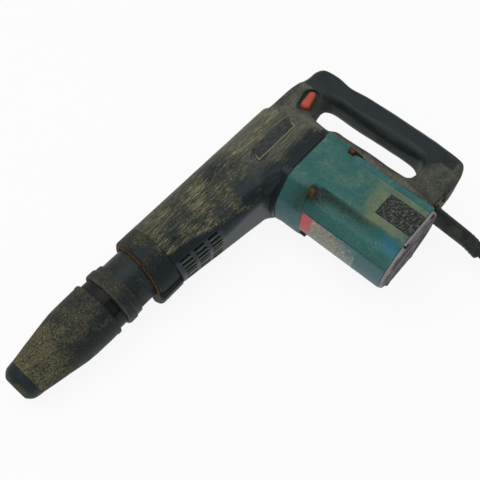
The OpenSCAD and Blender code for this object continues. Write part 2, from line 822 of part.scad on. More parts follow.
module crank_gear() {
    color("#6f7274") lie() difference() {
        translate([crank_x, 0, 0]) prism_y(gear_bottom, gear_top)
            rotate(gear_turn) gear_outline(gear_teeth);
        rod_y(crank_x, 0, gear_bottom - eps, gear_top + eps, journal_d + 2 * run_gap);
    }
}
module crank_housing() {
    color("#8d9194") lie() difference() {
        union() {
            rod_x(x_housing_front, x_chamber_back + housing_wall, 2 * (chamber_r + housing_wall));
            rod_y(crank_x, 0, pocket_bottom, floor_top, 2 * (pocket_r + housing_wall));
            rod_y(0, 0, pocket_bottom, pocket_top + housing_wall, 2 * (pinion_room_r + housing_wall));
        }
        intersection() {
            rod_x(x_housing_in, x_chamber_back, 2 * chamber_r);
            block(x_housing_in, x_chamber_back, floor_top, chamber_r + eps, -chamber_r, chamber_r);
        }
        rod_x(x_housing_front - eps, x_housing_in + eps, cylinder_od + 2 * seat_gap);
        rod_y(crank_x, 0, bearing_bottom, floor_top + eps, crank_bearing_d + 2 * seat_gap);
        rod_y(crank_x, 0, pocket_top - eps, bearing_bottom + eps,
            journal_d + 2 * (journal_step + face_gap));
        rod_y(crank_x, 0, pocket_bottom - eps, pocket_top, 2 * pocket_r);
        rod_y(0, 0, pocket_bottom - eps, pocket_top, 2 * pinion_room_r);
        rod_x(x_housing_front - chamber_r, x_housing_front, neck_d + 2 * seat_gap);
    }
}
module motor_outline(extra) {
    hull() {
        circle(motor_r + extra);
        square([2 * motor_flat, 2 * (motor_half_w + extra)], center = true);
    }
}
module flange_outline(extra) {
    intersection() {
        hull() {
            circle(motor_flange_r + extra);
            for (sx = [-1, 1], sz = [-1, 1]) translate([sx * bolt_x, sz * bolt_z])
                circle(bolt_edge + extra, $fn = hull_fn);
            square([2 * motor_flat, 2 * (motor_half_w + extra)], center = true);
        }
        square([4 * motor_r, 2 * (motor_half_w + extra)], center = true);
    }
}
module at_bolts() {
    for (sx = [-1, 1], sz = [-1, 1]) translate([sx * bolt_x, 0, sz * bolt_z]) children();
}
module gear_plate() {
    color("#2a2c2a") lie() difference() {
        union() {
            prism_y(motor_top, plate_top) flange_outline(0);
            rod_y(crank_x, 0, plate_top + lobe_lift, pocket_bottom, 2 * (pocket_r + housing_wall));
            intersection() {
                rod_y(crank_x, 0, plate_top - eps, pocket_bottom, 2 * (pocket_r + housing_wall));
                prism_y(plate_top - eps, plate_top + lobe_lift + eps) flange_outline(0);
            }
            rod_y(0, 0, plate_top - eps, pocket_bottom, 2 * (pinion_room_r + housing_wall));
            rod_y(0, 0, boss_bottom, motor_top + eps, plate_boss_d);
        }
        rod_y(crank_x, 0, pocket_bottom - stub_in - face_gap, pocket_bottom + eps, stub_d + 2 * run_gap);
        rod_y(0, 0, boss_bottom - eps, top_bearing_top, top_bearing_d + 2 * seat_gap);
        rod_y(0, 0, top_bearing_top - eps, pocket_bottom + eps, shaft_d + 2 * shaft_air);
        at_bolts() rod_y(0, 0, motor_top - eps, plate_top + eps, motor_bolt_d + 2 * seat_gap);
    }
}

// Cover
module cover_section(shrink) {
    hull() {
        circle(collar_r - shrink, $fn = 2 * hull_fn);
        for (s = [-1, 1]) translate([cover_corner_r - cover_depth, s * (cover_half_w - cover_corner_r)])
            circle(cover_corner_r - shrink, $fn = hull_fn);
    }
}
module cover_form(shrink) {
    hull() {
        rod_x(x_cover_front + shrink, x_cover_front + shrink + eps, collar_d - 2 * shrink);
        prism_x(x_flare + flare_in, x_flare + flare_in + eps) cover_section(shrink + flare_step);
    }
    hull() {
        prism_x(x_flare + shrink, seam_x - shrink) cover_section(shrink);
        prism_y(plate_top - skirt_in - shrink, plate_top - shrink) intersection() {
            flange_outline(-shrink);
            translate([seam_x - shrink - 4 * motor_r, -2 * motor_r]) square(4 * motor_r);
        }
    }
}
module vents() {
    for (c = [0:vent_cols - 1], r = [0:vent_rows - 1], s = [-1, 1]) {
        x0 = vent_x0 + c * (vent_l + vent_gap_x);
        rotate([s * (vent_first_a + r * vent_pitch_a), 0, 0]) block(
            x0, x0 + vent_l, -collar_r - vent_deep, -neck_d / 2 - eps, -vent_w / 2, vent_w / 2
        );
    }
}
// The badge plate lies in a shallow seat on the left flank, leaning with the flank
module on_flank() {
    drop = cover_depth - cover_corner_r;
    out = cover_half_w - cover_corner_r;
    lean = acos((collar_r - cover_corner_r) / norm([drop, out])) - atan2(drop, out);
    reach = collar_r / cos(lean) - badge_mid_y * tan(lean);
    translate([badge_mid_x, badge_mid_y, reach]) rotate([-lean, 0, 0]) children();
}
module badge_shape(extra) {
    hull() for (sx = [-1, 1], sy = [-1, 1])
        translate([sx * badge_l / 2 + sy * badge_slant / 2, sy * badge_h / 2])
            circle(badge_edge + extra, $fn = hull_fn);
}
module barrel_cover() {
    color("#3b3a30") lie() difference() {
        cover_form(0);
        cover_form(cover_wall);
        prism_y(rear_bottom, plate_top) flange_outline(face_gap);
        rod_x(x_cover_front - eps, x_housing_front, neck_d + 2 * seat_gap);
        vents();
        on_flank() translate([0, 0, -badge_t - badge_sink]) linear_extrude(collar_r) badge_shape(seat_gap);
        both_sides() for (y = screw_ys) translate([seam_x - cover_wall - eps, y, screw_z])
            rotate([0, 90, 0]) cylinder(h = cover_wall + 2 * eps, d = handle_screw_d + 2 * seat_gap);
    }
}
module badge_plate() {
    color("#9aa09a") lie() on_flank() translate([0, 0, -badge_t - badge_sink])
        linear_extrude(badge_t) badge_shape(-seat_gap);
}

// Motor
module motor_housing() {
    color("#3c7373") lie() difference() {
        union() {
            prism_y(flange_bottom, motor_top) flange_outline(0);
            prism_y(motor_bottom, motor_top) motor_outline(0);
        }
        rod_y(0, 0, motor_bottom - eps, motor_top + eps, 2 * motor_bore_r);
        at_bolts() rod_y(0, 0, flange_bottom - eps, motor_top + eps, motor_bolt_d + 2 * seat_gap);
        for (sx = [-1, 1], sz = [-1, 1])
            rod_y(sx * rear_screw_x, sz * rear_screw_z, motor_bottom - eps, motor_bottom + rear_screw_in,
                rear_screw_d + 2 * seat_gap);
        at_bolts() rod_y(0, 0, motor_bottom - eps, flange_bottom, motor_bolt_head + 2 * bolt_room);
        both_sides() {
            block(-brush_cover_w - face_gap, brush_cover_w + face_gap, brush_cover_y - face_gap,
                brush_cover_y + brush_cover_h + face_gap, cover_floor_z, motor_half_w + eps);
            block(-brush_t / 2 - holder_wall - seat_gap, brush_t / 2 + holder_wall + seat_gap,
                brush_y - brush_h / 2 - holder_wall - seat_gap,
                brush_y + brush_h / 2 + holder_wall + seat_gap, 0, motor_half_w);
        }
    }
}
module motor_bolts() {
    color("#6d4526") lie() at_bolts() {
        rod_y(0, 0, flange_bottom - eps, plate_top - bolt_room, motor_bolt_d);
        translate([0, flange_bottom, 0]) rotate([90, 0, 0])
            cylinder(h = bolt_head_h, d = motor_bolt_head, $fn = 6);
    }
}
module fan_baffle() {
    color("#35393a") lie() pipe_y(
        0, 0, baffle_top - baffle_t, baffle_top,
        2 * (motor_bore_r - seat_gap), 2 * (armature_r + commutator_air)
    );
}
module field_stator() {
    color("#6b6e70") lie() pipe_y(
        0, 0, stack_bottom, stack_top, 2 * (motor_bore_r - seat_gap), 2 * (armature_r + air_gap)
    );
}
module field_windings() {
    color("#8a4b22") lie() for (y = [stack_bottom - winding_h, stack_top])
        pipe_y(0, 0, y, y + winding_h, 2 * (motor_bore_r - winding_air), 2 * (armature_r + winding_air));
}
module armature_shaft() {
    color("#9b9ea0") lie() {
        rod_y(0, 0, low_bearing_top, gear_bottom, shaft_d);
        rod_y(0, 0, low_bearing_bottom + face_gap, low_bearing_top + eps, low_shaft_d);
        prism_y(gear_bottom, gear_top) gear_outline(pinion_teeth);
    }
}
module armature_core() {
    color("#5f6264") lie() pipe_y(
        0, 0, stack_bottom + core_inset, stack_top - core_inset, 2 * armature_r, shaft_d + 2 * seat_gap
    );
}
module armature_windings() {
    color("#9c5526") lie() for (y = [stack_bottom + core_inset - arm_winding_h, stack_top - core_inset])
        pipe_y(0, 0, y, y + arm_winding_h,
            2 * (armature_r - winding_air - core_inset), shaft_d + 2 * seat_gap);
}
module commutator() {
    color("#b87333") lie() pipe_y(
        0, 0, commutator_top - commutator_h, commutator_top, 2 * commutator_r, shaft_d + 2 * seat_gap
    );
}
module fan() {
    disc_t = 2.5;
    vane_t = 1.6;
    vane_in = 8;
    hub_d = shaft_d + vane_in;
    color("#404648") lie() difference() {
        union() {
            rod_y(0, 0, fan_top - fan_h, fan_top, hub_d);
            rod_y(0, 0, fan_top - disc_t, fan_top, 2 * fan_r);
            for (k = [0:fan_blades - 1]) rotate([0, 360 * k / fan_blades, 0])
                block(hub_d / 2 + vane_in, fan_r - vane_t, fan_top - fan_h, fan_top,
                    -vane_t / 2, vane_t / 2);
        }
        rod_y(0, 0, fan_top - fan_h - eps, fan_top + eps, shaft_d + 2 * seat_gap);
    }
}
module armature_bearings() {
    color("#c3c5c7") lie() {
        pipe_y(0, 0, top_bearing_bottom, top_bearing_top, top_bearing_d, shaft_d + 2 * run_gap);
        pipe_y(0, 0, low_bearing_bottom, low_bearing_top, low_bearing_d, low_shaft_d + 2 * run_gap);
    }
}
module brush_holders() {
    color("#b08d3c") lie() both_sides() difference() {
        block(-brush_t / 2 - holder_wall, brush_t / 2 + holder_wall, brush_y - brush_h / 2 - holder_wall,
            brush_y + brush_h / 2 + holder_wall, holder_z0, brush_cap_z);
        block(-brush_t / 2 - seat_gap, brush_t / 2 + seat_gap, brush_y - brush_h / 2 - seat_gap,
            brush_y + brush_h / 2 + seat_gap, holder_z0 - eps, brush_cap_z + eps);
    }
}
module carbon_brushes() {
    color("#2a2a2a") lie() both_sides() block(-brush_t / 2, brush_t / 2, brush_y - brush_h / 2,
        brush_y + brush_h / 2, commutator_r + brush_gap, commutator_r + brush_gap + brush_l);
}
module brush_springs() {
    z0 = commutator_r + brush_gap + brush_l + brush_spring_wire / 2;
    z1 = brush_cap_z - brush_spring_wire / 2;
    color("#a5a5a0") lie() both_sides() translate([0, brush_y, 0]) rotate([0, -90, 0]) tube(
        helix(z0, z1, brush_spring_r, brush_spring_curls), brush_spring_wire, wire_sides, [1, 0, 0]
    );
}
module brush_caps() {
    color("#3a3a38") lie() both_sides() block(-brush_t / 2 - holder_wall, brush_t / 2 + holder_wall,
        brush_y - brush_h / 2 - holder_wall, brush_y + brush_h / 2 + holder_wall,
        brush_cap_z, cover_floor_z);
}
module brush_covers() {
    color("#2b2b29") lie() both_sides() block(
        -brush_cover_w, brush_cover_w, brush_cover_y, brush_cover_y + brush_cover_h,
        cover_floor_z, cover_floor_z + brush_cover_t
    );
}
module rear_cover() {
    inset = 0.6;
    color("#b9b9b5") lie() difference() {
        union() {
            prism_y(rear_bottom, motor_bottom) motor_outline(-inset);
            rod_y(0, 0, motor_bottom - eps, low_bearing_top, low_boss_d);
        }
        rod_y(0, 0, low_bearing_bottom, low_bearing_top + eps, low_bearing_d + 2 * seat_gap);
        for (sx = [-1, 1], sz = [-1, 1]) translate([sx * rear_screw_x, 0, sz * rear_screw_z]) {
            rod_y(0, 0, rear_bottom - eps, motor_bottom + eps, rear_screw_d + 2 * seat_gap);
            rod_y(0, 0, rear_bottom - eps, rear_bottom + rear_head_seat, rear_screw_head + 2 * seat_gap);
        }
    }
}
module rear_cover_screws() {
    color("#8b8d8f") lie() for (sx = [-1, 1], sz = [-1, 1])
        translate([sx * rear_screw_x, 0, sz * rear_screw_z]) {
            rod_y(0, 0, rear_bottom + rear_head_seat - eps, motor_bottom + rear_screw_in - eps,
                rear_screw_d);
            rod_y(0, 0, rear_bottom + face_gap, rear_bottom + rear_head_seat, rear_screw_head);
        }
}
module rating_label() {
    label_top = flange_bottom - label_drop;
    label_from = -12;
    label_to = 26;
    color("#b9a98c") lie() translate([0, label_top - label_h, 0]) rotate([-90, 0, 0])
        rotate([0, 0, 180 + label_from]) rotate_extrude(angle = label_to - label_from)
            translate([motor_r + seat_gap, 0]) square([label_t, label_h]);
}

// Handle
module handle_frame() {
    slab = 2;
    strip_x = hole_x - strip_step;
    strip_low = plate_top + slab;
    arm_lap = 10;
    arm_in = 3;
    spine_lap = 7;
    spine_in = 2;
    spine_edge = 1;
    block_in = 3;
    color("#45463c") lie() difference() {
        union() {
            hull() {
                prism_x(seam_x, seam_x + slab) intersection() {
                    cover_section(collar_r - arm_top);
                    translate([strip_low, -collar_d]) square(2 * collar_d);
                }
                prism_x(strip_x - slab, strip_x)
                    round_box(strip_low, arm_top - arm_fall, -arm_half, arm_half, frame_edge);
            }
            hull() {
                prism_x(strip_x - arm_lap - slab, strip_x - arm_lap) round_box(
                    -hole_top, arm_top - arm_fall - arm_in, arm_in - arm_half, arm_half - arm_in, frame_edge
                );
                prism_x(grip_seam_x - slab, grip_seam_x) arm_section();
            }
            prism_y(block_bottom + spine_lap, plate_top + spine_lap) polygon([
                [spine_x, spine_in - bolt_z], [hole_x, spine_edge - arm_half],
                [hole_x, arm_half - spine_edge], [spine_x, bolt_z - spine_in]
            ]);
            hull() {
                prism_y(block_bottom, block_bottom + slab) round_box(
                    spine_x + slab, grip_x0, block_in - arm_half, arm_half - block_in, frame_edge
                );
                prism_y(lower_top - slab, lower_top) round_box(
                    spine_x + slab, grip_x0,
                    block_in + eps - arm_half, arm_half - block_in - eps, frame_edge
                );
            }
        }
        prism_y(flange_bottom - face_gap, plate_top + face_gap) flange_outline(face_gap);
        prism_y(rear_bottom, flange_bottom) motor_outline(face_gap);
        both_sides() translate([lever_x, 0, arm_half - recess_deep]) linear_extrude(recess_deep + eps)
            lever_outline(recess_air);
        translate([lever_x, 0, -arm_half]) linear_extrude(2 * arm_half) lever_outline(face_gap);
        block(lever_x - switch_half_l, lever_x + switch_half_l, 0,
            lever_w / 2 + face_gap + switch_h, -switch_half, switch_half);
        guard_place() translate([0, 0, -guard_in])
            cylinder(h = guard_in + guard_d, d = guard_d + 2 * seat_gap);
        handle_screw_holes(seat_gap, $fn = hull_fn);
    }
}
// Outline of the arm where the grip joins it
module arm_section() {
    round_box(-hole_top, back_top + arm_rise, arm_fall - arm_half, arm_half - arm_fall, frame_edge);
}
module lever_outline(extra) {
    hull() for (s = [-1, 1]) translate([s * (lever_l - lever_w) / 2, 0])
        circle(lever_w / 2 + extra, $fn = hull_fn);
}
module handle_screw_holes(extra) {
    both_sides() for (y = screw_ys) translate([0, y, screw_z]) {
        rod_x(seam_x - cover_wall, hole_x + eps, handle_screw_d + 2 * extra);
        rod_x(seam_x + screw_seat, 2 * hole_x, handle_screw_head + 2 * extra);
    }
}
// Rear part of the handle: the upper corner, the bar for the hand and the lower corner
module handle_grip() {
    slab = 2;
    bar_in_top = 30;
    bar_in_low = 20;
    heel_drop = 6;
    toe_lift = 9;
    back_x = grip_x1 + back_step;
    bar_top = -hole_top - bar_in_top;
    bar_bottom = lower_top + bar_in_low;
    heel_in = 1;
    heel_top = lower_top - heel_drop;
    toe_in = 7;
    toe_low = block_bottom + toe_lift;
    color("#2e3233") lie() {
        hull() {
            prism_x(grip_seam_x, grip_seam_x + slab) arm_section();
            prism_x(back_x - slab, back_x)
                round_box(-hole_top / 2, back_top, -grip_half, grip_half, grip_edge);
        }
        hull() {
            prism_y(-hole_top - slab, -hole_top / 2)
                round_box(grip_x0 - back_step, back_x, -grip_half, grip_half, grip_edge);
            prism_y(bar_top, bar_top + slab) bar_section();
        }
        prism_y(bar_bottom, bar_top + slab) bar_section();
        hull() {
            prism_y(bar_bottom, bar_bottom + slab) bar_section();
            prism_y(heel_top - slab, heel_top) round_box(
                grip_x0, grip_x1 - heel_in, -grip_half - heel_in, grip_half + heel_in, grip_edge
            );
            prism_y(toe_low, toe_low + slab)
                round_box(grip_x0, grip_x1 - toe_in, -grip_half, grip_half, grip_edge);
        }
    }
}
module bar_section() {
    round_box(grip_x0, grip_x1, -grip_half, grip_half, grip_edge);
}
module handle_screws() {
    color("#7d7f80") lie() both_sides() for (y = screw_ys) translate([0, y, screw_z]) {
        rod_x(seam_x - cover_wall + face_gap, seam_x + screw_seat + eps, handle_screw_d);
        rod_x(seam_x + screw_seat, seam_x + screw_seat + handle_head_h, handle_screw_head);
    }
}
module switch_lever() {
    color("#c8553d") lie() translate([lever_x, 0, lever_travel / 2 - lever_half])
        linear_extrude(2 * lever_half) lever_outline(0);
}
module switch_body() {
    color("#1f2122") lie() block(lever_x - switch_half_l + face_gap, lever_x + switch_half_l - face_gap,
        lever_w / 2 + 2 * face_gap, lever_w / 2 + face_gap + switch_h, -switch_half + face_gap,
        switch_half - face_gap);
}
module cord_clamp() {
    color("#7b5230") lie() difference() {
        block(tab_x - tab_l / 2, tab_x + tab_l / 2, block_bottom - tab_t, block_bottom,
            tab_z, tab_z + tab_w);
        for (s = [-1, 1]) rod_y(tab_x + s * tab_l / 3, tab_z + tab_w / 2, block_bottom - tab_t - eps,
            block_bottom + eps, clamp_screw_d + 2 * seat_gap);
    }
}
module clamp_screws() {
    color("#8c6a45") lie() for (s = [-1, 1]) translate([tab_x + s * tab_l / 3, 0, tab_z + tab_w / 2]) {
        rod_y(0, 0, block_bottom - tab_t - eps, block_bottom, clamp_screw_d);
        rod_y(0, 0, block_bottom - tab_t - clamp_head_h, block_bottom - tab_t, 2 * clamp_screw_d);
    }
}

// Cord
module guard_place() {
    translate([guard_x, block_bottom, 0]) rotate([90 + guard_drop, 0, guard_yaw]) children();
}
module cord_guard() {
    color("#26282a") lie() guard_place() {
        translate([0, 0, seat_gap - guard_in]) cylinder(h = guard_in + guard_d / 2, d = guard_d);
        translate([0, 0, guard_d / 2 - eps])
            cylinder(h = guard_l - guard_d / 2 + eps, d1 = guard_d, d2 = guard_tip_d);
    }
}
module cord_lead() {
    color("#232527") tube(lead_route, cord_d, cord_sides, [0, 0, 1]);
}
module cord_coil() {
    color("#232527") tube(coil_route, cord_d, wire_sides, [0, 0, 1]);
}
module cord_tail() {
    color("#232527") tube(tail_route, cord_d, cord_sides, [0, 0, 1]);
}
// Strap round all the turns of the coil, on the side away from the tail
module coil_tie() {
    tie_w = 12;
    r0 = coil_out_r - coil_turns * turn_step - cord_d / 2 - face_gap;
    r1 = coil_out_r + cord_d / 2 + face_gap;
    z0 = coil_floor - cord_d / 2 - face_gap;
    z1 = coil_floor + (coil_layers - 1) * layer_step + cord_d / 2 + face_gap;
    color("#1c1d1e") translate(coil_c) difference() {
        block(-tie_w / 2, tie_w / 2, r0 - tie_t, r1 + tie_t, z0 - tie_t, z1 + tie_t);
        block(-tie_w, tie_w, r0, r1, z0, z1);
    }
}
module plug_body() {
    edge = 5;
    neck_lip = 2;
    color("#26282a") translate(plug_at) {
        rotate([-90, 0, 0])
            cylinder(h = plug_neck_l + edge, d1 = cord_d + neck_lip, d2 = plug_h - 2 * neck_lip);
        translate([0, plug_neck_l, 0]) rotate([-90, 0, 0]) linear_extrude(plug_l)
            round_box(-plug_w / 2, plug_w / 2, -plug_h / 2, plug_h / 2, edge);
    }
}
module plug_blades() {
    color("#b9a36a") translate(plug_at + [0, plug_neck_l + plug_l, 0]) for (s = [-1, 1])
        translate([s * blade_gap / 2, 0, 0])
            block(-blade_t / 2, blade_t / 2, 0, blade_l, -blade_w / 2, blade_w / 2);
}

nose_cap();
cap_ring();
release_sleeve();
sleeve_spring();
spring_seat();
lock_rollers();
tool_holder();
angle_ring();
impact_bolt();
barrel();
neck_ring();
front_collar();
impact_damper();
cylinder_liner();
striker();
striker_seal();
piston();
piston_pin();
connecting_rod();
crankshaft();
crank_bearing();
crank_gear();
crank_housing();
gear_plate();
barrel_cover();
badge_plate();
motor_housing();
motor_bolts();
fan_baffle();
field_stator();
field_windings();
armature_shaft();
armature_core();
armature_windings();
commutator();
fan();
armature_bearings();
brush_holders();
carbon_brushes();
brush_springs();
brush_caps();
brush_covers();
rear_cover();
rear_cover_screws();
rating_label();
handle_frame();
handle_grip();
handle_screws();
switch_lever();
switch_body();
cord_clamp();
clamp_screws();
cord_guard();
cord_lead();
cord_coil();
coil_tie();
cord_tail();
plug_body();
plug_blades();
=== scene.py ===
"""Demolition hammer lying on its right side: worn plastic shells, a rusty neck ring and a coiled mains cord.

Shapes are worked out in the tool's own frame, in millimetres: x back along the barrel, y up the tool and
z to its left, with the motor's axis on y. lay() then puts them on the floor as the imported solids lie.
"""

import bmesh
import bpy
import numpy as np
from mathutils import Matrix


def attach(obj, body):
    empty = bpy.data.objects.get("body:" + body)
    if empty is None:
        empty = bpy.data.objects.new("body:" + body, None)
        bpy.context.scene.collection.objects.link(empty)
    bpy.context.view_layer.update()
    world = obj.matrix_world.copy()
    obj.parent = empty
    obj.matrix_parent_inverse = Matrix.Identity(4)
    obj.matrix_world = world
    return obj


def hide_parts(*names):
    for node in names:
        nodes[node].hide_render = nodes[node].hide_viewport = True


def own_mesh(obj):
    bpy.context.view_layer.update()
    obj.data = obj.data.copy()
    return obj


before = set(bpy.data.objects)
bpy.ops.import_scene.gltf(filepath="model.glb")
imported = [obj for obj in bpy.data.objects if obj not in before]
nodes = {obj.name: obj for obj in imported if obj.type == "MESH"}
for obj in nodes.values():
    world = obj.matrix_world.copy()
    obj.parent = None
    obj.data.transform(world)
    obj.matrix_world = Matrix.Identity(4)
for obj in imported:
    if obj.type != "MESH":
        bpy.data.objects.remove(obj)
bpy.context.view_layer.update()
scene = bpy.context.scene
scene.view_settings.view_transform = "Standard"

# Camera: a 49.3 mm lens on a 36 mm frame, about two thirds of a metre from the tool and above its nose,
# looking down at the left flank.
eye = np.array([-0.2791, -0.1772, 0.6335])
forward = np.array([0.4175, 0.2992, -0.8580])
right = np.array([0.6557, -0.7529, 0.0565])
forward = forward / np.linalg.norm(forward)
right = right - forward * (right @ forward)
right = right / np.linalg.norm(right)
lens = bpy.data.cameras.new("camera")
lens.lens = 49.3
lens.sensor_width = 36.0
camera = bpy.data.objects.new("camera", lens)
camera_pose = np.eye(4)
camera_pose[:3, :3] = np.column_stack([right, np.cross(right, forward), -forward])
camera_pose[:3, 3] = eye
camera.matrix_world = Matrix(camera_pose.tolist())
scene.collection.objects.link(camera)
scene.camera = camera


# Floor and light: a pale sheet under the tool, lit by a wide soft box overhead, a fill panel beyond the nose
# and an even white room. The sheet is mostly self-bright to the camera, so the shadow stays faint.
def linear(code):
    """sRGB hex to linear RGBA: c / 12.92 below 0.04045, else ((c + 0.055) / 1.055) ** 2.4."""
    c = np.array([int(code[i : i + 2], 16) for i in (1, 3, 5)]) / 255
    c = np.where(c <= 0.04045, c / 12.92, ((c + 0.055) / 1.055) ** 2.4)
    return (*c.tolist(), 1.0)


def add(tree, kind, *inputs, **settings):
    """Adds one shader node. settings are its properties, or its sockets by name with _ for a space; inputs
    then fill its live sockets in order: a node is linked, a hex colour or a number is set, and None is passed
    over."""
    made = tree.nodes.new("ShaderNode" + kind)
    for name in [n for n in settings if hasattr(made, n)]:
        setattr(made, name, settings.pop(name))
    live = [s for s in made.inputs if s.enabled]
    pairs = list(zip(live, inputs)) + [(made.inputs[n.replace("_", " ")], v) for n, v in settings.items()]
    for socket, value in pairs:
        if isinstance(value, str):
            socket.default_value = linear(value)
        elif isinstance(value, bpy.types.NodeSocket):
            tree.links.new(value, socket)
        elif isinstance(value, bpy.types.Node):
            tree.links.new(next(o for o in value.outputs if o.enabled), socket)
        elif value is not None:
            socket.default_value = value
    return made


def new_material(name):
    """An empty node material and its tree."""
    made = bpy.data.materials.new(name)
    made.use_nodes = True
    made.node_tree.nodes.clear()
    return made, made.node_tree


def put_mesh(name, points, faces, smooth=True):
    """A mesh object at the origin from points in metres and faces, with its faces turned outwards."""
    mesh = bpy.data.meshes.new(name)
    mesh.from_pydata(np.asarray(points).reshape(-1, 3).tolist(), [], [list(f) for f in faces])
    work = bmesh.new()
    work.from_mesh(mesh)
    bmesh.ops.recalc_face_normals(work, faces=work.faces)
    work.to_mesh(mesh)
    work.free()
    mesh.polygons.foreach_set("use_smooth", np.full(len(mesh.polygons), smooth))
    mesh.update()
    made = bpy.data.objects.new(name, mesh)
    scene.collection.objects.link(made)
    return made


half_sheet, self_bright, room_light = 6.0, 0.9, 0.46
sheet_corners = half_sheet * np.array([[-1, -1, 0], [1, -1, 0], [1, 1, 0], [-1, 1, 0]])
floor = put_mesh("floor", sheet_corners, [(0, 1, 2, 3)], False)
paper, tree = new_material("white_paper_sheet")
path = add(tree, "LightPath")
seen = add(tree, "Math", path.outputs["Is Camera Ray"], path.outputs["Is Glossy Ray"], operation="MAXIMUM")
seen = add(tree, "Math", seen, path.outputs["Is Transmission Ray"], operation="MAXIMUM")
seen = add(tree, "Math", seen, self_bright, operation="MULTIPLY")
matt = add(tree, "BsdfDiffuse", "#f4f4f2")
bright = add(tree, "Emission", "#ffffff", 1.0)
add(tree, "OutputMaterial", add(tree, "MixShader", seen, matt, bright))
floor.data.materials.append(paper)

room = bpy.data.worlds.new("room")
scene.world = room
room.use_nodes = True
tree = room.node_tree
tree.nodes.clear()
path = add(tree, "LightPath")
seen = add(
    tree, "Math", path.outputs["Is Camera Ray"], path.outputs["Is Transmission Ray"], operation="MAXIMUM"
)
even = add(tree, "Background", "#ffffff", room_light)
white = add(tree, "Background", "#ffffff", 1.0)
add(tree, "OutputWorld", add(tree, "MixShader", seen, even, white))

for name, place, size, power in (
    ("soft_box", (-0.1, 0.45, 1.6), 1.4, 12.0),
    ("fill_panel", (-1.5, -0.8, 0.8), 1.0, 4.0),
):
    lamp = bpy.data.lights.new(name, "AREA")
    lamp.shape = "SQUARE"
    lamp.size = size
    lamp.energy = power
    lamp_object = bpy.data.objects.new(name, lamp)
    back = np.array(place) / np.linalg.norm(place)
    side = np.cross([0.0, 1.0, 0.0], back)
    side = side / np.linalg.norm(side)
    pose = np.eye(4)
    pose[:3, :3] = np.column_stack([side, np.cross(back, side), back])
    pose[:3, 3] = place
    lamp_object.matrix_world = Matrix(pose.tolist())
    scene.collection.objects.link(lamp_object)

# Nose cap: a moulded rubber cap that snaps over the front of the tool holder and keeps dust out of the bore.
# Its front is a rough bevel with a round mouth for the tool's shank.
lie_angle = np.radians(3.86002)
rest_place = np.array([113.741, 82.0, 50.5718])


def lay(p):
    """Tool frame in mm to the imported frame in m: turned about y by the lie angle, then moved to its place."""
    p = np.asarray(p, float)
    c, s = np.cos(lie_angle), np.sin(lie_angle)
    x, y, z = p[..., 0], p[..., 1], p[..., 2]
    return (np.stack([x * c - z * s, y, x * s + z * c], -1) + rest_place) / 1000


def unit(v):
    """Vectors divided by their lengths."""
    return v / np.linalg.norm(v, axis=-1, keepdims=True)


def ease(t):
    """Smooth step: 3 t^2 - 2 t^3 for t between 0 and 1."""
    t = np.clip(t, 0, 1)
    return t * t * (3 - 2 * t)


def grid_faces(rows, cols, ring, loop=False):
    """Quads between neighbouring points of a grid; ring joins the last column to the first, and loop the last
    row to the first."""
    row_steps, col_steps = np.arange(rows if loop else rows - 1), np.arange(cols if ring else cols - 1)
    i, j = np.meshgrid(row_steps, col_steps, indexing="ij")
    h, k = (i + 1) % rows, (j + 1) % cols
    quads = np.stack([i * cols + j, i * cols + k, h * cols + k, h * cols + j], -1)
    return quads.reshape(-1, 4).tolist()


def tool_coordinates(tree):
    """Object coordinates in metres, turned back by the lie angle: x along the barrel, y up the motor."""
    c, s = np.cos(lie_angle), np.sin(lie_angle)
    x, y, z = rest_place / 1000
    where = add(tree, "TexCoord")
    return add(
        tree, "Mapping", where.outputs["Object"],
        Rotation=(0.0, lie_angle, 0.0), Location=(-(x * c + z * s), -y, x * s - z * c),
    )


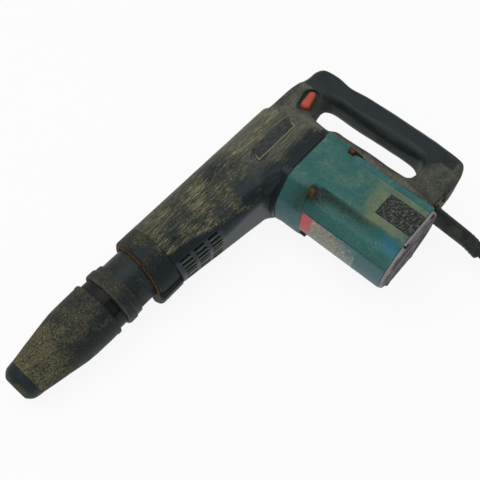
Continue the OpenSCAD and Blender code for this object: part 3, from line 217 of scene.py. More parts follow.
def worn_material(
    name, base, dust, cover, rough, patch_mm=28.0, speck_mm=2.2, drag=0.0, pit_mm=0.12, soft=1.0,
    edge=None, haze=None, fleck=None, cool=None,
):
    """Moulded surface with cement dust: patches, specks and drag marks along the barrel add up, and dust lies
    where the sum passes a level set by cover. The mesh's own numbers work on it: dirt shifts the level, for
    real dirt and for painted shade in hollows, haze lays an even film, cool lays a painted grey sheen on what
    looks at the floor, and wear bares the edges. Flecks are hair lines where a twisted noise crosses its middle
    value; real scratches are finer, and these are as wide as they need to be to show."""
    streaked = drag > 0.5
    streak_pull, streak_mm, hair_mm = 0.055, 1.0, 2.2
    made, tree = new_material(name)
    where = tool_coordinates(tree)
    patch = add(tree, "TexNoise", where, Scale=1000 / patch_mm, Detail=6.0, Roughness=0.62)
    speck = add(tree, "TexNoise", where, Scale=1000 / speck_mm, Detail=4.0, Roughness=0.62)
    pulled = add(tree, "Mapping", where, Scale=(streak_pull, 1.0, 1.0))
    marks = add(tree, "TexNoise", pulled, Scale=1000 / streak_mm, Detail=4.0, Roughness=0.7)
    broad = add(tree, "MapRange", patch, 0.3, 0.7)
    fine = add(tree, "MapRange", speck, 0.32, 0.68)
    drawn = add(tree, "MapRange", marks, 0.34, 0.66)
    dirt = add(tree, "Attribute", attribute_name="dirt")
    total = add(tree, "Math", broad, 0.44 - 0.2 * drag, dirt, operation="MULTIPLY_ADD")
    total = add(tree, "Math", fine, 0.18, total, operation="MULTIPLY_ADD")
    total = add(tree, "Math", drawn, 0.3 * drag, total, operation="MULTIPLY_ADD")
    level = 0.31 + 0.05 * drag + 0.42 * (0.5 - cover)
    share = add(
        tree, "MapRange", total, level - 0.1 * soft, level + 0.16 * soft, 0.0, 0.92,
        interpolation_type="SMOOTHSTEP",
    )
    clean = add(tree, "Mix", fine, base[0], base[1], data_type="RGBA")
    caked = add(tree, "Mix", drawn if streaked else fine, dust[0], dust[1], data_type="RGBA")
    colour = add(tree, "Mix", share, clean, caked, data_type="RGBA")
    if haze:
        film = add(tree, "Attribute", attribute_name="haze")
        film = add(tree, "Math", film, drawn, operation="MULTIPLY")
        colour = add(tree, "Mix", film, colour, haze, data_type="RGBA")
    # Painted sheen: the cool number mixes a grey-blue into the colour.
    if cool:
        painted_sheen = add(tree, "Attribute", attribute_name="cool")
        colour = add(tree, "Mix", painted_sheen.outputs["Fac"], colour, cool, data_type="RGBA")
    if fleck:
        hair = add(
            tree, "TexNoise", pulled if streaked else where,
            Scale=1000 / hair_mm, Detail=4.0, Roughness=0.6, Distortion=0.7,
        )
        hair = add(tree, "Math", hair, 0.5, operation="PINGPONG")
        hair = add(tree, "MapRange", hair, 0.462, 0.494)
        hair = add(tree, "Math", hair, total, operation="MULTIPLY")
        hair = add(tree, "MapRange", hair, level - 0.06, level + 0.2, 0.0, 0.8)
        colour = add(tree, "Mix", hair, colour, fleck, data_type="RGBA")
    if edge:
        wear = add(tree, "Attribute", attribute_name="wear")
        rubbed = add(tree, "Math", wear, speck, operation="MULTIPLY")
        rubbed = add(tree, "MapRange", rubbed, 0.22, 0.5, interpolation_type="SMOOTHSTEP")
        colour = add(tree, "Mix", rubbed, colour, edge, data_type="RGBA")
    gloss = add(tree, "MapRange", share, 0.0, 0.6, rough, min(rough + 0.34, 0.92))
    height = add(tree, "Math", speck, 0.5, share, operation="MULTIPLY_ADD")
    height = add(tree, "Math", marks, 0.8 * drag, height, operation="MULTIPLY_ADD")
    bump = add(tree, "Bump", Strength=0.6, Distance=pit_mm / 1000, Height=height)
    shader = add(
        tree, "BsdfPrincipled", Base_Color=colour, Roughness=gloss, Normal=bump, IOR=1.48,
        Specular_IOR_Level=0.36, Specular_Tint="#d0e4e4",
    )
    add(tree, "OutputMaterial", shader)
    return made


def bevelled(corners, cuts, spacing=1.2):
    """Closed outline with rounded corners: a quadratic Bezier curve takes each corner from its cut before it
    to its cut after it, and the straight runs between them get points at the spacing."""
    p = np.asarray(corners, float)
    cut = np.broadcast_to(cuts, len(p))[:, None]
    before, after = p + cut * unit(np.roll(p, 1, 0) - p), p + cut * unit(np.roll(p, -1, 0) - p)
    t = np.linspace(0, 1, 7)[:, None, None]
    loop = (1 - t) ** 2 * before + 2 * t * (1 - t) * p + t**2 * after
    loop = loop.transpose(1, 0, 2).reshape(-1, 2)
    ahead = np.roll(loop, -1, 0) - loop
    length = np.linalg.norm(ahead, axis=1)
    loop, ahead, length = loop[length > 1e-6], ahead[length > 1e-6], length[length > 1e-6]
    count = np.ceil(length / spacing).astype(int)
    start = np.repeat(np.arange(len(loop)), count)
    share = (np.arange(len(start)) - np.repeat(np.cumsum(count) - count, count)) / count[start]
    return loop[start] + share[:, None] * ahead[start]


def revolved(outline, sides):
    """Outline points (x, r) turned about the barrel's axis: (x, r cos a, r sin a), a from straight up."""
    a = np.linspace(0, 2 * np.pi, sides, endpoint=False)
    x, r = outline[:, :1] + 0 * a, outline[:, 1:]
    return np.stack([x, r * np.cos(a), r * np.sin(a)], -1)


def lumps(p, size, seed):
    """Smooth unevenness of about +-1: the mean of five sine waves with wave lengths near the size in mm."""
    draw = np.random.default_rng(seed)
    ways = unit(draw.normal(size=(5, 3))) * (2 * np.pi / size) * draw.uniform(0.7, 1.4, (5, 1))
    return np.sin(p @ ways.T + draw.uniform(0, 6.28, 5)).mean(-1) * 1.6


def marked(piece, **marks):
    """Writes number fields on a mesh's points."""
    for name, value in marks.items():
        field = piece.data.attributes.new(name, "FLOAT", "POINT")
        field.data.foreach_set("value", np.asarray(value, float).ravel())
    return piece


def turned(name, points, **marks):
    """A closed piece from an outline's revolved points in mm, with number fields such as dirt and wear."""
    rows, cols = points.shape[:2]
    made = put_mesh(name, lay(points), grid_faces(rows, cols, True, True))
    return marked(made, **marks)


cap_p = revolved(bevelled(
    [
        [-362.4, 10], [-362.4, 13.2], [-356.8, 19.2], [-348.02, 20.7], [-348.02, 15.1], [-354.9, 15.1],
        [-354.9, 10],
    ],
    [0.6, 2.2, 3.4, 0.25, 0, 0, 0.3],
), 96)
cap_p[..., 1:] *= 1 + 0.008 * lumps(cap_p, 9, 1)[..., None] * (cap_p[..., :1] < -350)
nose_cap = turned("nose_cap_rubber", cap_p, dirt=0.3 * ease((-356.6 - cap_p[..., 0]) / 2.5) - 0.05)
# Moulded rubber: matt and nearly black, greyed where grit has rubbed into the bevel.
black_rubber = worn_material(
    "black_moulded_rubber", ("#12171b", "#20262a"), ("#3a3a2f", "#575544"), 0.18, 0.55,
    patch_mm=14, speck_mm=1.3,
)
nose_cap.data.materials.append(black_rubber)
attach(nose_cap, "holder")
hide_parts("nose_cap")

# Release sleeve: a moulded sleeve slid back to free the tool, a cone to the kink and a slow barrel behind it,
# with a small lip at its back edge. Cement dust has caked on its cone and top.
sleeve_p = revolved(bevelled(
    [
        [-348, 16.4], [-348, 20.5], [-294, 30.3], [-260.6, 30.85], [-259.6, 31.5], [-256, 31.4],
        [-256, 28.4], [-281, 28.4], [-281, 19.4], [-309, 19.4], [-309, 15.1], [-314, 15.1], [-314, 16.4],
    ],
    [0, 0.25, 9, 0.3, 0.4, 0.9] + [0] * 7,
), 144)
sleeve_r = np.linalg.norm(sleeve_p[..., 1:], axis=-1, keepdims=True)
outside = sleeve_p[..., 1:] / sleeve_r
on_skin = (sleeve_r > 20) & ((sleeve_p[..., :1] < -281.5) | (sleeve_r > 29))
sleeve_p[..., 1:] += 0.12 * outside * lumps(sleeve_p, 16, 2)[..., None] * on_skin
lean = outside @ np.array([0.75, 0.66])
sleeve_x = sleeve_p[..., 0]
sleeve_dirt = 0.1 * lean + 0.19 * ease((-290 - sleeve_x) / 50) - 0.1 * ease((sleeve_x + 300) / 35)
sleeve = turned("release_sleeve_moulding", sleeve_p, dirt=sleeve_dirt)
# Moulded plastic under cement: black that shows through olive-grey cakes in blotches, with pale scratches.
caked_plastic = worn_material(
    "cement_caked_black_plastic", ("#0f1416", "#1f2426"), ("#2e3028", "#595541"), 0.47, 0.55,
    patch_mm=17, speck_mm=2.2, drag=0.3, pit_mm=0.16, soft=1.6, fleck="#9c9169",
)
sleeve.data.materials.append(caked_plastic)
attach(sleeve, "sleeve")
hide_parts("release_sleeve")

# Tool holder and its locking parts: turned and hardened steel with a dark oil film. The flange behind the
# sleeve shows as a groove with two windows; rollers, spring, seat and cap ring are inside.
oil_mm, cloud_mm = 12.0, 7.0
# Hardened steel under old oil and soot: almost black, with a soft and broken sheen.
dark_steel, tree = new_material("oiled_dark_steel")
where = tool_coordinates(tree)
oil = add(tree, "TexNoise", where, Scale=1000 / oil_mm, Detail=5.0, Roughness=0.6)
tint = add(tree, "Mix", oil, "#0b0d0d", "#1f2220", data_type="RGBA")
gloss = add(tree, "MapRange", oil, 0.3, 0.7, 0.5, 0.7)
oil_bump = add(tree, "Bump", Strength=0.4, Distance=0.0001, Height=oil)
add(tree, "OutputMaterial", add(
    tree, "BsdfPrincipled", Base_Color=tint, Roughness=gloss, Metallic=0.1, Normal=oil_bump,
    Specular_IOR_Level=0.25,
))
# Ground steel: a bright, slightly clouded grey with clear highlights.
bright_steel, tree = new_material("ground_bright_steel")
where = tool_coordinates(tree)
cloud = add(tree, "TexNoise", where, Scale=1000 / cloud_mm, Detail=5.0, Roughness=0.6)
tint = add(tree, "Mix", cloud, "#8d8f90", "#b4b5b4", data_type="RGBA")
gloss = add(tree, "MapRange", cloud, 0.3, 0.7, 0.25, 0.42)
add(tree, "OutputMaterial", add(tree, "BsdfPrincipled", Base_Color=tint, Roughness=gloss, Metallic=0.9))


def paint(material, *names):
    """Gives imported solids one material."""
    for name in names:
        nodes[name].data.materials.clear()
        nodes[name].data.materials.append(material)


paint(dark_steel, "tool_holder", "impact_bolt")
paint(bright_steel, "cap_ring", "sleeve_spring", "spring_seat", "lock_rollers")
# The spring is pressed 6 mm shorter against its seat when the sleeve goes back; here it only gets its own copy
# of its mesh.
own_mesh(nodes["sleeve_spring"])

# Angle ring: a moulded ring pulled forward to turn the chisel. Its front two thirds are full size with
# rounded edges, and a lower band behind them meets the neck.
angle_p = revolved(bevelled(
    [[-245, 28.4], [-245, 30.6], [-243.4, 32], [-234.4, 32], [-233.2, 30.7], [-226.3, 30.3], [-226.3, 28.4]],
    [0, 0.8, 1.2, 0.8, 0.6, 0.6, 0],
), 144)
outside = unit(angle_p[..., 1:])
angle_dirt = 0.1 * (outside @ np.array([0.6, 0.5])) + 0.03
angle_rims = np.exp(-((angle_p[..., 0] + 243.6) / 1.3) ** 2) + np.exp(-((angle_p[..., 0] + 234.4) / 1.0) ** 2)
ring = turned("angle_ring_moulding", angle_p, dirt=angle_dirt, wear=0.8 * angle_rims)
# Moulded plastic with a thin coat of dust: charcoal, paler on the rims that hands rub.
dusty_plastic = worn_material(
    "dusty_black_plastic", ("#15191b", "#242929"), ("#33332a", "#4d4a39"), 0.35, 0.5,
    patch_mm=16, speck_mm=1.3, drag=0.3, soft=1.6, edge="#4a4b45", fleck="#8a8464",
)
ring.data.materials.append(dusty_plastic)
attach(ring, "ring")
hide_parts("angle_ring")

# Barrel neck: the turned steel tube that carries the striker, bare between ring and collar, where a side grip
# would clamp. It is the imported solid, painted black.
# Baked paint: dark and half glossy, smeared grey by old grease and dust.
black_paint = worn_material(
    "smeared_black_paint", ("#121619", "#1f2427"), ("#2b2d29", "#403f37"), 0.34, 0.42,
    patch_mm=26, speck_mm=2.4, drag=0.15, pit_mm=0.06, soft=1.6, fleck="#64645a",
)
paint(black_paint, "barrel")

# Neck ring: a thin steel ring pressed between neck and collar. Like the collar's front edge it slants, so
# that its lower side stands further forward.
front_slant, rust_scale_mm = 2.3, 3.0
# Rusted steel: matt orange-brown scale with dark pits.
rust, tree = new_material("rusty_steel")
where = tool_coordinates(tree)
scale_noise = add(tree, "TexNoise", where, Scale=1000 / rust_scale_mm, Detail=6.0, Roughness=0.7)
tint = add(tree, "MapRange", scale_noise, 0.35, 0.68)
tint = add(tree, "Mix", tint, "#1c130b", "#66421f", data_type="RGBA")
pits = add(tree, "Bump", Strength=0.8, Distance=0.0002, Height=scale_noise)
add(tree, "OutputMaterial", add(
    tree, "BsdfPrincipled", Base_Color=tint, Roughness=0.82, Metallic=0.15, Normal=pits,
))
neck_p = revolved(bevelled([[-200.7, 29], [-200.7, 33.4], [-199, 33.4], [-199, 29]], [0, 0.7, 0, 0]), 144)
neck_p[..., 0] -= front_slant * (1 - unit(neck_p[..., 1:])[..., 0])
neck_ring = turned("neck_ring_rusty", neck_p)
neck_ring.data.materials.append(rust)
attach(neck_ring, "casing")
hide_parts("neck_ring")

# Front collar: a moulded ring that closes the front of the cover, in the sleeve's caked black plastic. It is
# clamped on the barrel by a slit underneath, and a boss at its lower right takes the clamp's screw.
collar_p = revolved(bevelled(
    [[-199.2, 28.6], [-199.2, 35.2], [-197, 36.1], [-178.4, 36.1], [-178.1, 35.3], [-178.1, 28.6]],
    [0, 1.2, 1.2, 0.5, 0.3, 0],
), 540)
outside = unit(collar_p[..., 1:])
outer_skin = np.linalg.norm(collar_p[..., 1:], axis=-1) > 34
slit = (1 - ease((np.abs(collar_p[..., 2] - 2.0) - 0.7) / 0.5)) * (collar_p[..., 1] < 0) * outer_skin
boss_a = np.degrees(np.arctan2(-outside[..., 1], -outside[..., 0]))
boss = ease((boss_a + 2) / 2) * (1 - ease((boss_a - 52) / 22)) * outer_skin
swollen = ease((boss_a + 55) / 45) * (1 - ease((boss_a - 52) / 22)) * outer_skin
collar_p[..., 1:] += outside * (1.6 * swollen + 3.4 * boss - 5.0 * slit)[..., None]
collar_p[..., 0] -= (front_slant * (1 - outside[..., 0]) + 4.0 * boss) * ease((-179 - collar_p[..., 0]) / 18)
collar_dirt = 0.14 * outside[..., 0] + 0.04 * outside[..., 1] - 0.08 - 0.3 * slit - 0.35 * swollen
collar = turned("front_collar_moulding", collar_p, dirt=collar_dirt)
collar.data.materials.append(caked_plastic)
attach(collar, "casing")
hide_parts("front_collar")


# Barrel cover: a glass-filled nylon moulding over barrel and crank case. A round front flares into a
# flat-bellied section with soft lower edges and a skirt over the motor's flange, and cooling slots are cut in
# its belly.
def skin(name, points):
    """A closed piece from rows of rings of points in metres; the first and last ring are capped."""
    rows, cols = points.shape[:2]
    last = (rows - 1) * cols
    caps = [list(range(cols)), list(range(last, last + cols))]
    return put_mesh(name, points, grid_faces(rows, cols, True) + caps)


def spaced(low, high, step, *edges):
    """Numbers from low to high at the step, with each edge added so that features end on a grid line."""
    return np.unique(np.concatenate([np.linspace(low, high, int((high - low) / step) + 1), *edges]).round(4))


def reach(support, lines, a):
    """Distance from the middle to the edge of a convex outline: the least of support / cos(line - a) over all
    lines."""
    cosine = np.cos(lines[:, None] - a)
    inverse = np.where(cosine > 0.15, 1 / np.maximum(cosine, 0.15), np.inf)
    return np.array([(row[:, None] * inverse).min(0) for row in np.atleast_2d(support)])


cover_x0, cover_x1, flare_x, barrel_r = -178.0, 30.0, -62.0, 36
slot_l, slot_half, slot_x, slot_deep = 13.0, np.radians(2.0), -172 + 18.0 * np.arange(3), 8.0
slot_a = np.radians(180 + np.concatenate([-(5 + 6.5 * np.arange(5)), 5 + 6.5 * np.arange(5)]))
soft_x, soft_a = 0.25, np.radians(0.3)
slot_x_edges = np.concatenate([slot_x - soft_x, slot_x, slot_x + slot_l, slot_x + slot_l + soft_x])
slot_w = slot_half + soft_a * np.array([0, 0.85, 1])[:, None]
slot_a_edges = np.concatenate([slot_a - slot_w, slot_a + slot_w]).ravel()
cover_x = spaced(cover_x0, cover_x1, 1.6, slot_x_edges, cover_x0 + np.array([0.2, 0.5, 0.9]))
cover_a = spaced(0, 2 * np.pi, np.radians(1.25), slot_a_edges)[:-1]
to_flare = np.clip((cover_x - cover_x0) / (flare_x - cover_x0), 0, 1)
swell = ease((cover_x - flare_x) / 36)
# The section is the hull of the barrel's circle and a rounded corner low on each side, which moves out to
# the back.
corner_y, corner_z, corner_r = (
    start + to_flare * (middle - start) + swell * (back - middle)
    for start, middle, back in ((-20.5, -31.0, -50.7), (2.0, 19.5, 45.0), (20.0, 18.0, 4.0))
)
lines = np.radians(np.arange(0, 360, 1.0))
low_corner = corner_y[:, None] * np.cos(lines) + corner_z[:, None] * np.abs(np.sin(lines)) + corner_r[:, None]
cover_r = reach(np.maximum(barrel_r, low_corner), lines, cover_a)
edge_in = 0.8 * (1 - np.clip((cover_x - cover_x0) / 0.9, 0, 1)) ** 2
cover_r = cover_r - edge_in[:, None]
from_slot_x = np.abs(cover_x[:, None] - slot_x - slot_l / 2).min(1)
from_slot_a = np.abs(cover_a[:, None] - slot_a).min(1)
in_slot_x = np.clip(1 - from_slot_x / soft_x + slot_l / 2 / soft_x, 0, 1)
in_slot_a = np.clip(1 - from_slot_a / soft_a + slot_half / soft_a, 0, 1)
in_slot = in_slot_x[:, None] * in_slot_a
cover_r = cover_r - slot_deep * in_slot
cover_y, cover_z = cover_r * np.cos(cover_a), cover_r * np.sin(cover_a)
cover_along = np.broadcast_to(cover_x[:, None], cover_y.shape)
facet = ease((cover_along + 78) / 30) * ease((9.5 - cover_y + 0.06 * cover_along) / 3.0)
facet = facet * ease((cover_z - 20) / 8) * ease((cover_y + 40) / 8)
cover_z = cover_z - 1.3 * facet
cover_p = np.stack([cover_along, cover_y, cover_z], -1)
cover_p[..., 1:] *= 1 + 0.0022 * lumps(cover_p, 30, 5)[..., None]
# Where the dust lies: thick in front and on the shoulder, none on the belly and in the slots. The hollow at
# the back is kept clean, and its dark black is painted shade.
under = np.degrees(np.abs(cover_a - np.pi))
below = under - (54 - 0.27 * (cover_along + 188))
belly = 1 - ease((below + 6) / 14)
belly_line = np.exp(-((below - 5) / 2.5) ** 2)
front = 1 - ease((cover_along + 96) / 50)
upper = np.cos(cover_a - np.radians(35))
shoulder = ease((cover_along + 80) / 50) * np.exp(-(((cover_y - 9.5 - 0.06 * cover_along) / 5.0) ** 2))
shoulder = shoulder * (cover_z > 0)
shaded_hollow = ease((cover_along + 96) / 30) * (1 - ease((cover_along + 44) / 22)) * ease((-cover_y - 16) / 16)
cover_dirt = 0.08 * front + 0.04 * upper + 0.1 * belly_line * front + 0.28 * shoulder
cover_dirt = cover_dirt + 0.12 * ease((cover_along - 4) / 16) * (cover_y > 6)
# Less dust on the belly and in the slots; in the hollow the bare dark colour is painted shade.
cover_dirt = cover_dirt - 0.3 * belly - 0.13 * shaded_hollow - 0.8 * in_slot
slot_bars = ease((slot_l / 2 + 1 - from_slot_x) / 1.5)[:, None] * ease((34 - under) / 8)
slot_bars = slot_bars * ease((0.14 - in_slot) / 0.14)
rear_film = ease((cover_along + 76) / 56) * ease((cover_y + 42) / 14) * (1 - belly)
cover_haze = 0.9 * rear_film * (1 - 0.6 * shaded_hollow) + 0.95 * slot_bars
# Painted sheen: the belly and the bands beside the slots get a cool grey film in their colour.
painted_sheen_by_slots = 0.95 * ease((37 - under) / 8) * ease((-112 - cover_along) / 12) * (1 - slot_bars) * (1 - in_slot)
cover_painted_sheen = belly * np.maximum(0.42 * ease((cover_along + 132) / 26), painted_sheen_by_slots)
cover = marked(
    skin("barrel_cover_moulding", lay(cover_p)),
    dirt=cover_dirt, wear=0.35 * shoulder + 0.4 * slot_bars, haze=cover_haze, cool=cover_painted_sheen,
)
# Moulded nylon dragged over rubble: blue-black, with tan streaks of cement and hair scratches along the
# barrel and a painted cool grey sheen underneath.
nylon_cover = worn_material(
    "cement_streaked_black_nylon", ("#0a0f13", "#1a2127"), ("#24261f", "#6e6a52"), 0.33, 0.43,
    patch_mm=20, speck_mm=1.4, drag=0.8, pit_mm=0.2, soft=1.05,
    edge="#868884", haze="#6c6c5b", fleck="#b8b08a", cool="#343d44",
)
cover.data.materials.append(nylon_cover)
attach(cover, "casing")
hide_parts("barrel_cover")

# Cover skirt: the cover's lower lip, moulded in one with it. It follows the round front of the motor's flange
# and hides the joint.
motor_r, flange_r, flat_end, bolt_corner = 49.0, 53.6, 25, (33, 42, 5)


def motor_edge(a, flange):
    """Motor outline about its own axis: the hull of a circle and the ends of the flat sides, and for the
    flange of the bolts' round corners too, cut off at the flat sides."""
    c, s = np.abs(np.cos(lines)), np.abs(np.sin(lines))
    flats = flat_end * c + motor_r * s
    if flange:
        corners = bolt_corner[0] * c + bolt_corner[1] * s + bolt_corner[2]
        hull = np.maximum(flange_r, np.maximum(flats, corners))
    else:
        hull = np.maximum(motor_r, flats)
    return np.minimum(reach(hull, lines, a)[0], motor_r / np.maximum(np.abs(np.sin(a)), 1e-6))


skirt_flat = 48.95
skirt_a = np.radians(np.arange(62, 298.5, 1.5))
skirt_edge = motor_edge(skirt_a, True)
skirt_loop = bevelled(
    [[-56.8, 0.15], [-56.8, 0.9], [-46, 0.9], [-46, -4], [-55.2, -4], [-55.2, 0.15]],
    [0, 0.5, 0, 0, 0, 0], 1.0,
)
skirt_y = skirt_loop[:, :1] + 0 * skirt_a
skirt_r = skirt_edge + skirt_loop[:, 1:]
skirt_z = np.clip(skirt_r * np.sin(skirt_a), -skirt_flat, skirt_flat)
skirt_p = np.stack([skirt_r * np.cos(skirt_a), skirt_y, skirt_z], -1).transpose(1, 0, 2)
skirt = marked(skin("barrel_cover_skirt", lay(skirt_p)), dirt=np.full(skirt_p.shape[:2], -0.3))
skirt.data.materials.append(nylon_cover)
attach(skirt, "casing")

# Badge plate: a blank strip pressed from thin aluminium and glued into a shallow seat on the leaning left
# flank. Its raised rim is rubbed bare along the lower side.
flank_lean = np.arctan(0.235)
badge_mid, badge_foot = np.array([-5.5, -12.0]), 39.5


def on_flank(across, up, out):
    """Badge plane to tool frame, in mm: across is along the barrel, up along the flank, out square to it."""
    c, s = np.cos(flank_lean), np.sin(flank_lean)
    y, z = badge_mid[1] + up * c + out * s, badge_foot - up * s + out * c
    return np.stack([badge_mid[0] + across, y, z], -1)


badge_l, badge_h, badge_slant = 30, 9, 3.5
badge_loop = bevelled([
    [-badge_l - badge_slant, -badge_h], [badge_l - badge_slant, -badge_h],
    [badge_l + badge_slant, badge_h], [-badge_l + badge_slant, badge_h],
], 1.6, 2.0)
# Rings from the foot over the rim to the middle: share of the length, share of the height, and height above
# the seat.
badge_rings = np.array([
    [1, 1, -2.5], [1, 1, 0], [0.985, 0.952, 0.25], [0.965, 0.888, 0.25], [0.955, 0.856, 0], [0.5, 0.5, 0],
    [0.02, 0.02, 0],
])[:, :, None]
badge_p = on_flank(
    badge_rings[:, 0] * badge_loop[:, 0], badge_rings[:, 1] * badge_loop[:, 1],
    badge_rings[:, 2] + 0 * badge_loop[:, 0],
)
badge = skin("badge_plate_blank", lay(badge_p))
# Printed aluminium: a dull blue-black face clouded with dirt, and brassy bare metal where the rim is worn.
clouding_mm = 5.0
badge_metal, tree = new_material("worn_printed_aluminium")
where = tool_coordinates(tree)
clouding = add(tree, "TexNoise", where, Scale=1000 / clouding_mm, Detail=6.0, Roughness=0.7)
tint = add(tree, "MapRange", clouding, 0.38, 0.66)
tint = add(tree, "Mix", tint, "#1b2022", "#3d4240", data_type="RGBA")
bare = add(tree, "Attribute", attribute_name="wear")
tint = add(tree, "Mix", bare, tint, "#a39c7c", data_type="RGBA")
pits = add(tree, "Bump", Strength=0.5, Distance=0.0001, Height=clouding)
add(tree, "OutputMaterial", add(
    tree, "BsdfPrincipled", Base_Color=tint, Roughness=0.5, Metallic=0.3, Normal=pits,
))
badge_rim = np.array([0, 0, 0.8, 0.8, 0, 0, 0])[:, None] * (1 - ease((badge_loop[:, 1] + 4) / 6))
marked(badge, wear=badge_rim)
badge.data.materials.append(badge_metal)
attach(badge, "casing")
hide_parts("badge_plate")

# Gear plate: a plate cast in aluminium and painted black, bolted between crank case and motor. Only its rim,
# set back from the skirt, could ever show.
plate_a = np.radians(np.arange(0, 360, 2.0))
plate_top, plate_foot, plate_bore, plate_back = -47, -55, 20, 1.2
plate_rim, plate_eye = motor_edge(plate_a, True) - plate_back, plate_bore + 0 * plate_a
plate_r = np.stack([plate_eye, plate_rim, plate_rim, plate_eye])
plate_y = np.array([plate_top, plate_top, plate_foot, plate_foot])[:, None] + 0 * plate_a
plate_p = np.stack([plate_r * np.cos(plate_a), plate_y, plate_r * np.sin(plate_a)], -1)
plate = put_mesh("gear_plate_rim", lay(plate_p), grid_faces(4, len(plate_a), True, True), False)
plate.data.materials.append(black_paint)
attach(plate, "casing")
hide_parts("gear_plate")

# Motor housing: a moulded teal shell with flat sides, bolted up to the gear plate. A flute runs down from
# each front bolt to the rear edge, a fine groove bounds the round front, and a lower ledge lies along the
# handle.
win_y, win_x, win_z = (-189.7 - 0.35, -149.7 + 0.35), 14.35, 45.9
flat_x = np.array([win_x, win_x + 0.2, 18, 20.6, 21.0, 21.6, 22.2, 27.4])
flat_a = np.concatenate([np.arctan2(s * motor_r, t * flat_x) for s in (-1, 1) for t in (-1, 1)]) % (2 * np.pi)
groove_a = np.radians([157, 203])
groove_edges = groove_a[:, None] + np.radians([-1.3, -0.8, -0.3, 0, 0.3, 0.8, 1.3])
motor_a = spaced(0, 2 * np.pi, np.radians(1.2), flat_a, groove_edges.ravel())[:-1]
motor_y = spaced(-191, -55.3, 2.2, np.array([
    -190.7, -190.3, win_y[0] - 0.15, win_y[0], win_y[1], win_y[1] + 0.15, -87, -86, -85.4, -84.8, -84.3,
    -84, -83.7, -83.2, -56.2, -55.6,
]))
shell_edge, flange_edge = motor_edge(motor_a, False), motor_edge(motor_a, True)
motor_wall = shell_edge + (flange_edge - shell_edge) * ease((motor_y + 87) / 4)[:, None]
flute_x, flute_z, flute_r, no_flute = -36.6, 45.9, 12.5, 200.0


def soft_min(a, b, k):
    """Smaller of two lengths, with the corner between them rounded over k: min - k h^3 / 6, where h is
    max(k - |a - b|, 0) / k."""
    h = np.maximum(k - np.abs(a - b), 0) / k
    return np.minimum(a, b) - k * h**3 / 6


def flute_wall(a, side):
    """Distance from the motor's axis to the near wall of the round flute on one side, in the directions a:
    the nearer crossing of the line with the circle, or far out where the line misses it."""
    way = np.column_stack([np.cos(a), np.sin(a)])
    along, aside = way @ [flute_x, side * flute_z], way @ [side * flute_z, -flute_x]
    wall = np.where(np.abs(aside) < flute_r, along - np.sqrt(np.maximum(flute_r**2 - aside**2, 0)), no_flute)
    return np.where(along > 0, wall, no_flute)


dug = np.zeros_like(motor_wall)
above_flutes = 40 * ease((motor_y + 93) / 7)[:, None]
for side in (1, -1):
    fluted = soft_min(motor_wall, flute_wall(motor_a, side) + above_flutes, 8.0)
    dug = dug + np.maximum(motor_wall - fluted, 0)
    motor_wall = fluted
ledge = (1 - ease((motor_y + 94) / 3))[:, None]
ledge = ledge * ease((np.cos(motor_a) - 0.394) / 0.014) * ease((0.585 - np.cos(motor_a)) / 0.02)
ledge_z = 46.2
motor_wall = motor_wall + (ledge_z / np.maximum(np.abs(np.sin(motor_a)), 0.6) - motor_wall) * ledge
groove = np.exp(-((np.abs(motor_a[:, None] - groove_a).min(1) / np.radians(0.55)) ** 2))
groove = groove * (1 - ease((motor_y + 93) / 5))[:, None]
motor_wall = motor_wall - 0.9 * groove
end_roll = np.maximum(motor_y + 57, 0) ** 2 * 0.3 + np.maximum(-190 - motor_y, 0) ** 2 * 0.8
motor_wall = motor_wall - end_roll[:, None]
motor_x, motor_z = motor_wall * np.cos(motor_a), motor_wall * np.sin(motor_a)
in_win_y = (motor_y > win_y[0] - 0.01) & (motor_y < win_y[1] + 0.01)
in_win = in_win_y[:, None] & (np.abs(motor_x) < win_x + 0.01) & (np.abs(motor_z) > 40)
motor_z = np.where(in_win, np.sign(motor_z) * win_z, motor_z)
depth = motor_y[:, None] + 0 * motor_x
motor_p = np.stack([motor_x, depth, motor_z], -1)
# Where it is marked: tan stains on the flats and a pale line on the ledge's edge; grime and painted shade in
# the flutes, the front groove, round the bolts and below the skirt; a painted blue gleam at the flutes' foot.
side_face = ease((np.abs(np.sin(motor_a)) - 0.8) / 0.12) + 0 * motor_wall
tan = side_face * (0.35 + 0.65 * ease((-115 - depth) / 40))
tan = tan + 0.35 * np.exp(-(((depth + 150) / 30) ** 2)) * side_face
# A pale line along the ledge's edge in the tan colour: partly wear, partly a painted highlight that shows the
# edge.
ledge_rim_wear_and_highlight = np.exp(-(((np.cos(motor_a) - 0.39) / 0.005) ** 2)) * ease((-92 - depth) / 3)
tan = tan * (1 - 0.9 * ledge) + 0.8 * ledge_rim_wear_and_highlight
from_back = np.degrees(np.minimum(motor_a, 2 * np.pi - motor_a))
# Real grime and painted shade together: darker with the flutes' depth, in the front groove, round the bolts and
# on the flange below the skirt.
grime_and_shade = ease((dug - 0.4) / 6.5) * (0.45 + 0.55 * ease((131 - from_back) / 12))
grime_and_shade = grime_and_shade * (1.0 - 0.8 * ease((-120 - depth) / 60)) + 0.8 * groove
bolt_spots = ((33, 43), (33, -43), (-34, 43), (-34, -43))
for bolt_x, bolt_z in bolt_spots:
    off_bolt = np.hypot(motor_x - bolt_x, motor_z - bolt_z)
    grime_and_shade = grime_and_shade + 1.3 * np.exp(-((off_bolt / 7.5) ** 2)) * np.exp(-(((depth + 89) / 6.0) ** 2))
    flute_head = 0.4 * np.exp(-((off_bolt / 15) ** 2)) * np.exp(-(((depth + 92) / 16.0) ** 2))
    grime_and_shade = grime_and_shade + flute_head * (bolt_x < 0)
shade_below_skirt = np.exp(-(((motor_x + 44) / 13) ** 2)) * np.exp(-(((depth + 80) / 20) ** 2))
grime_and_shade = grime_and_shade + 0.55 * shade_below_skirt * ease((np.abs(motor_z) - 8) / 20)
grime_and_shade = grime_and_shade + 0.12 * (1 - side_face)
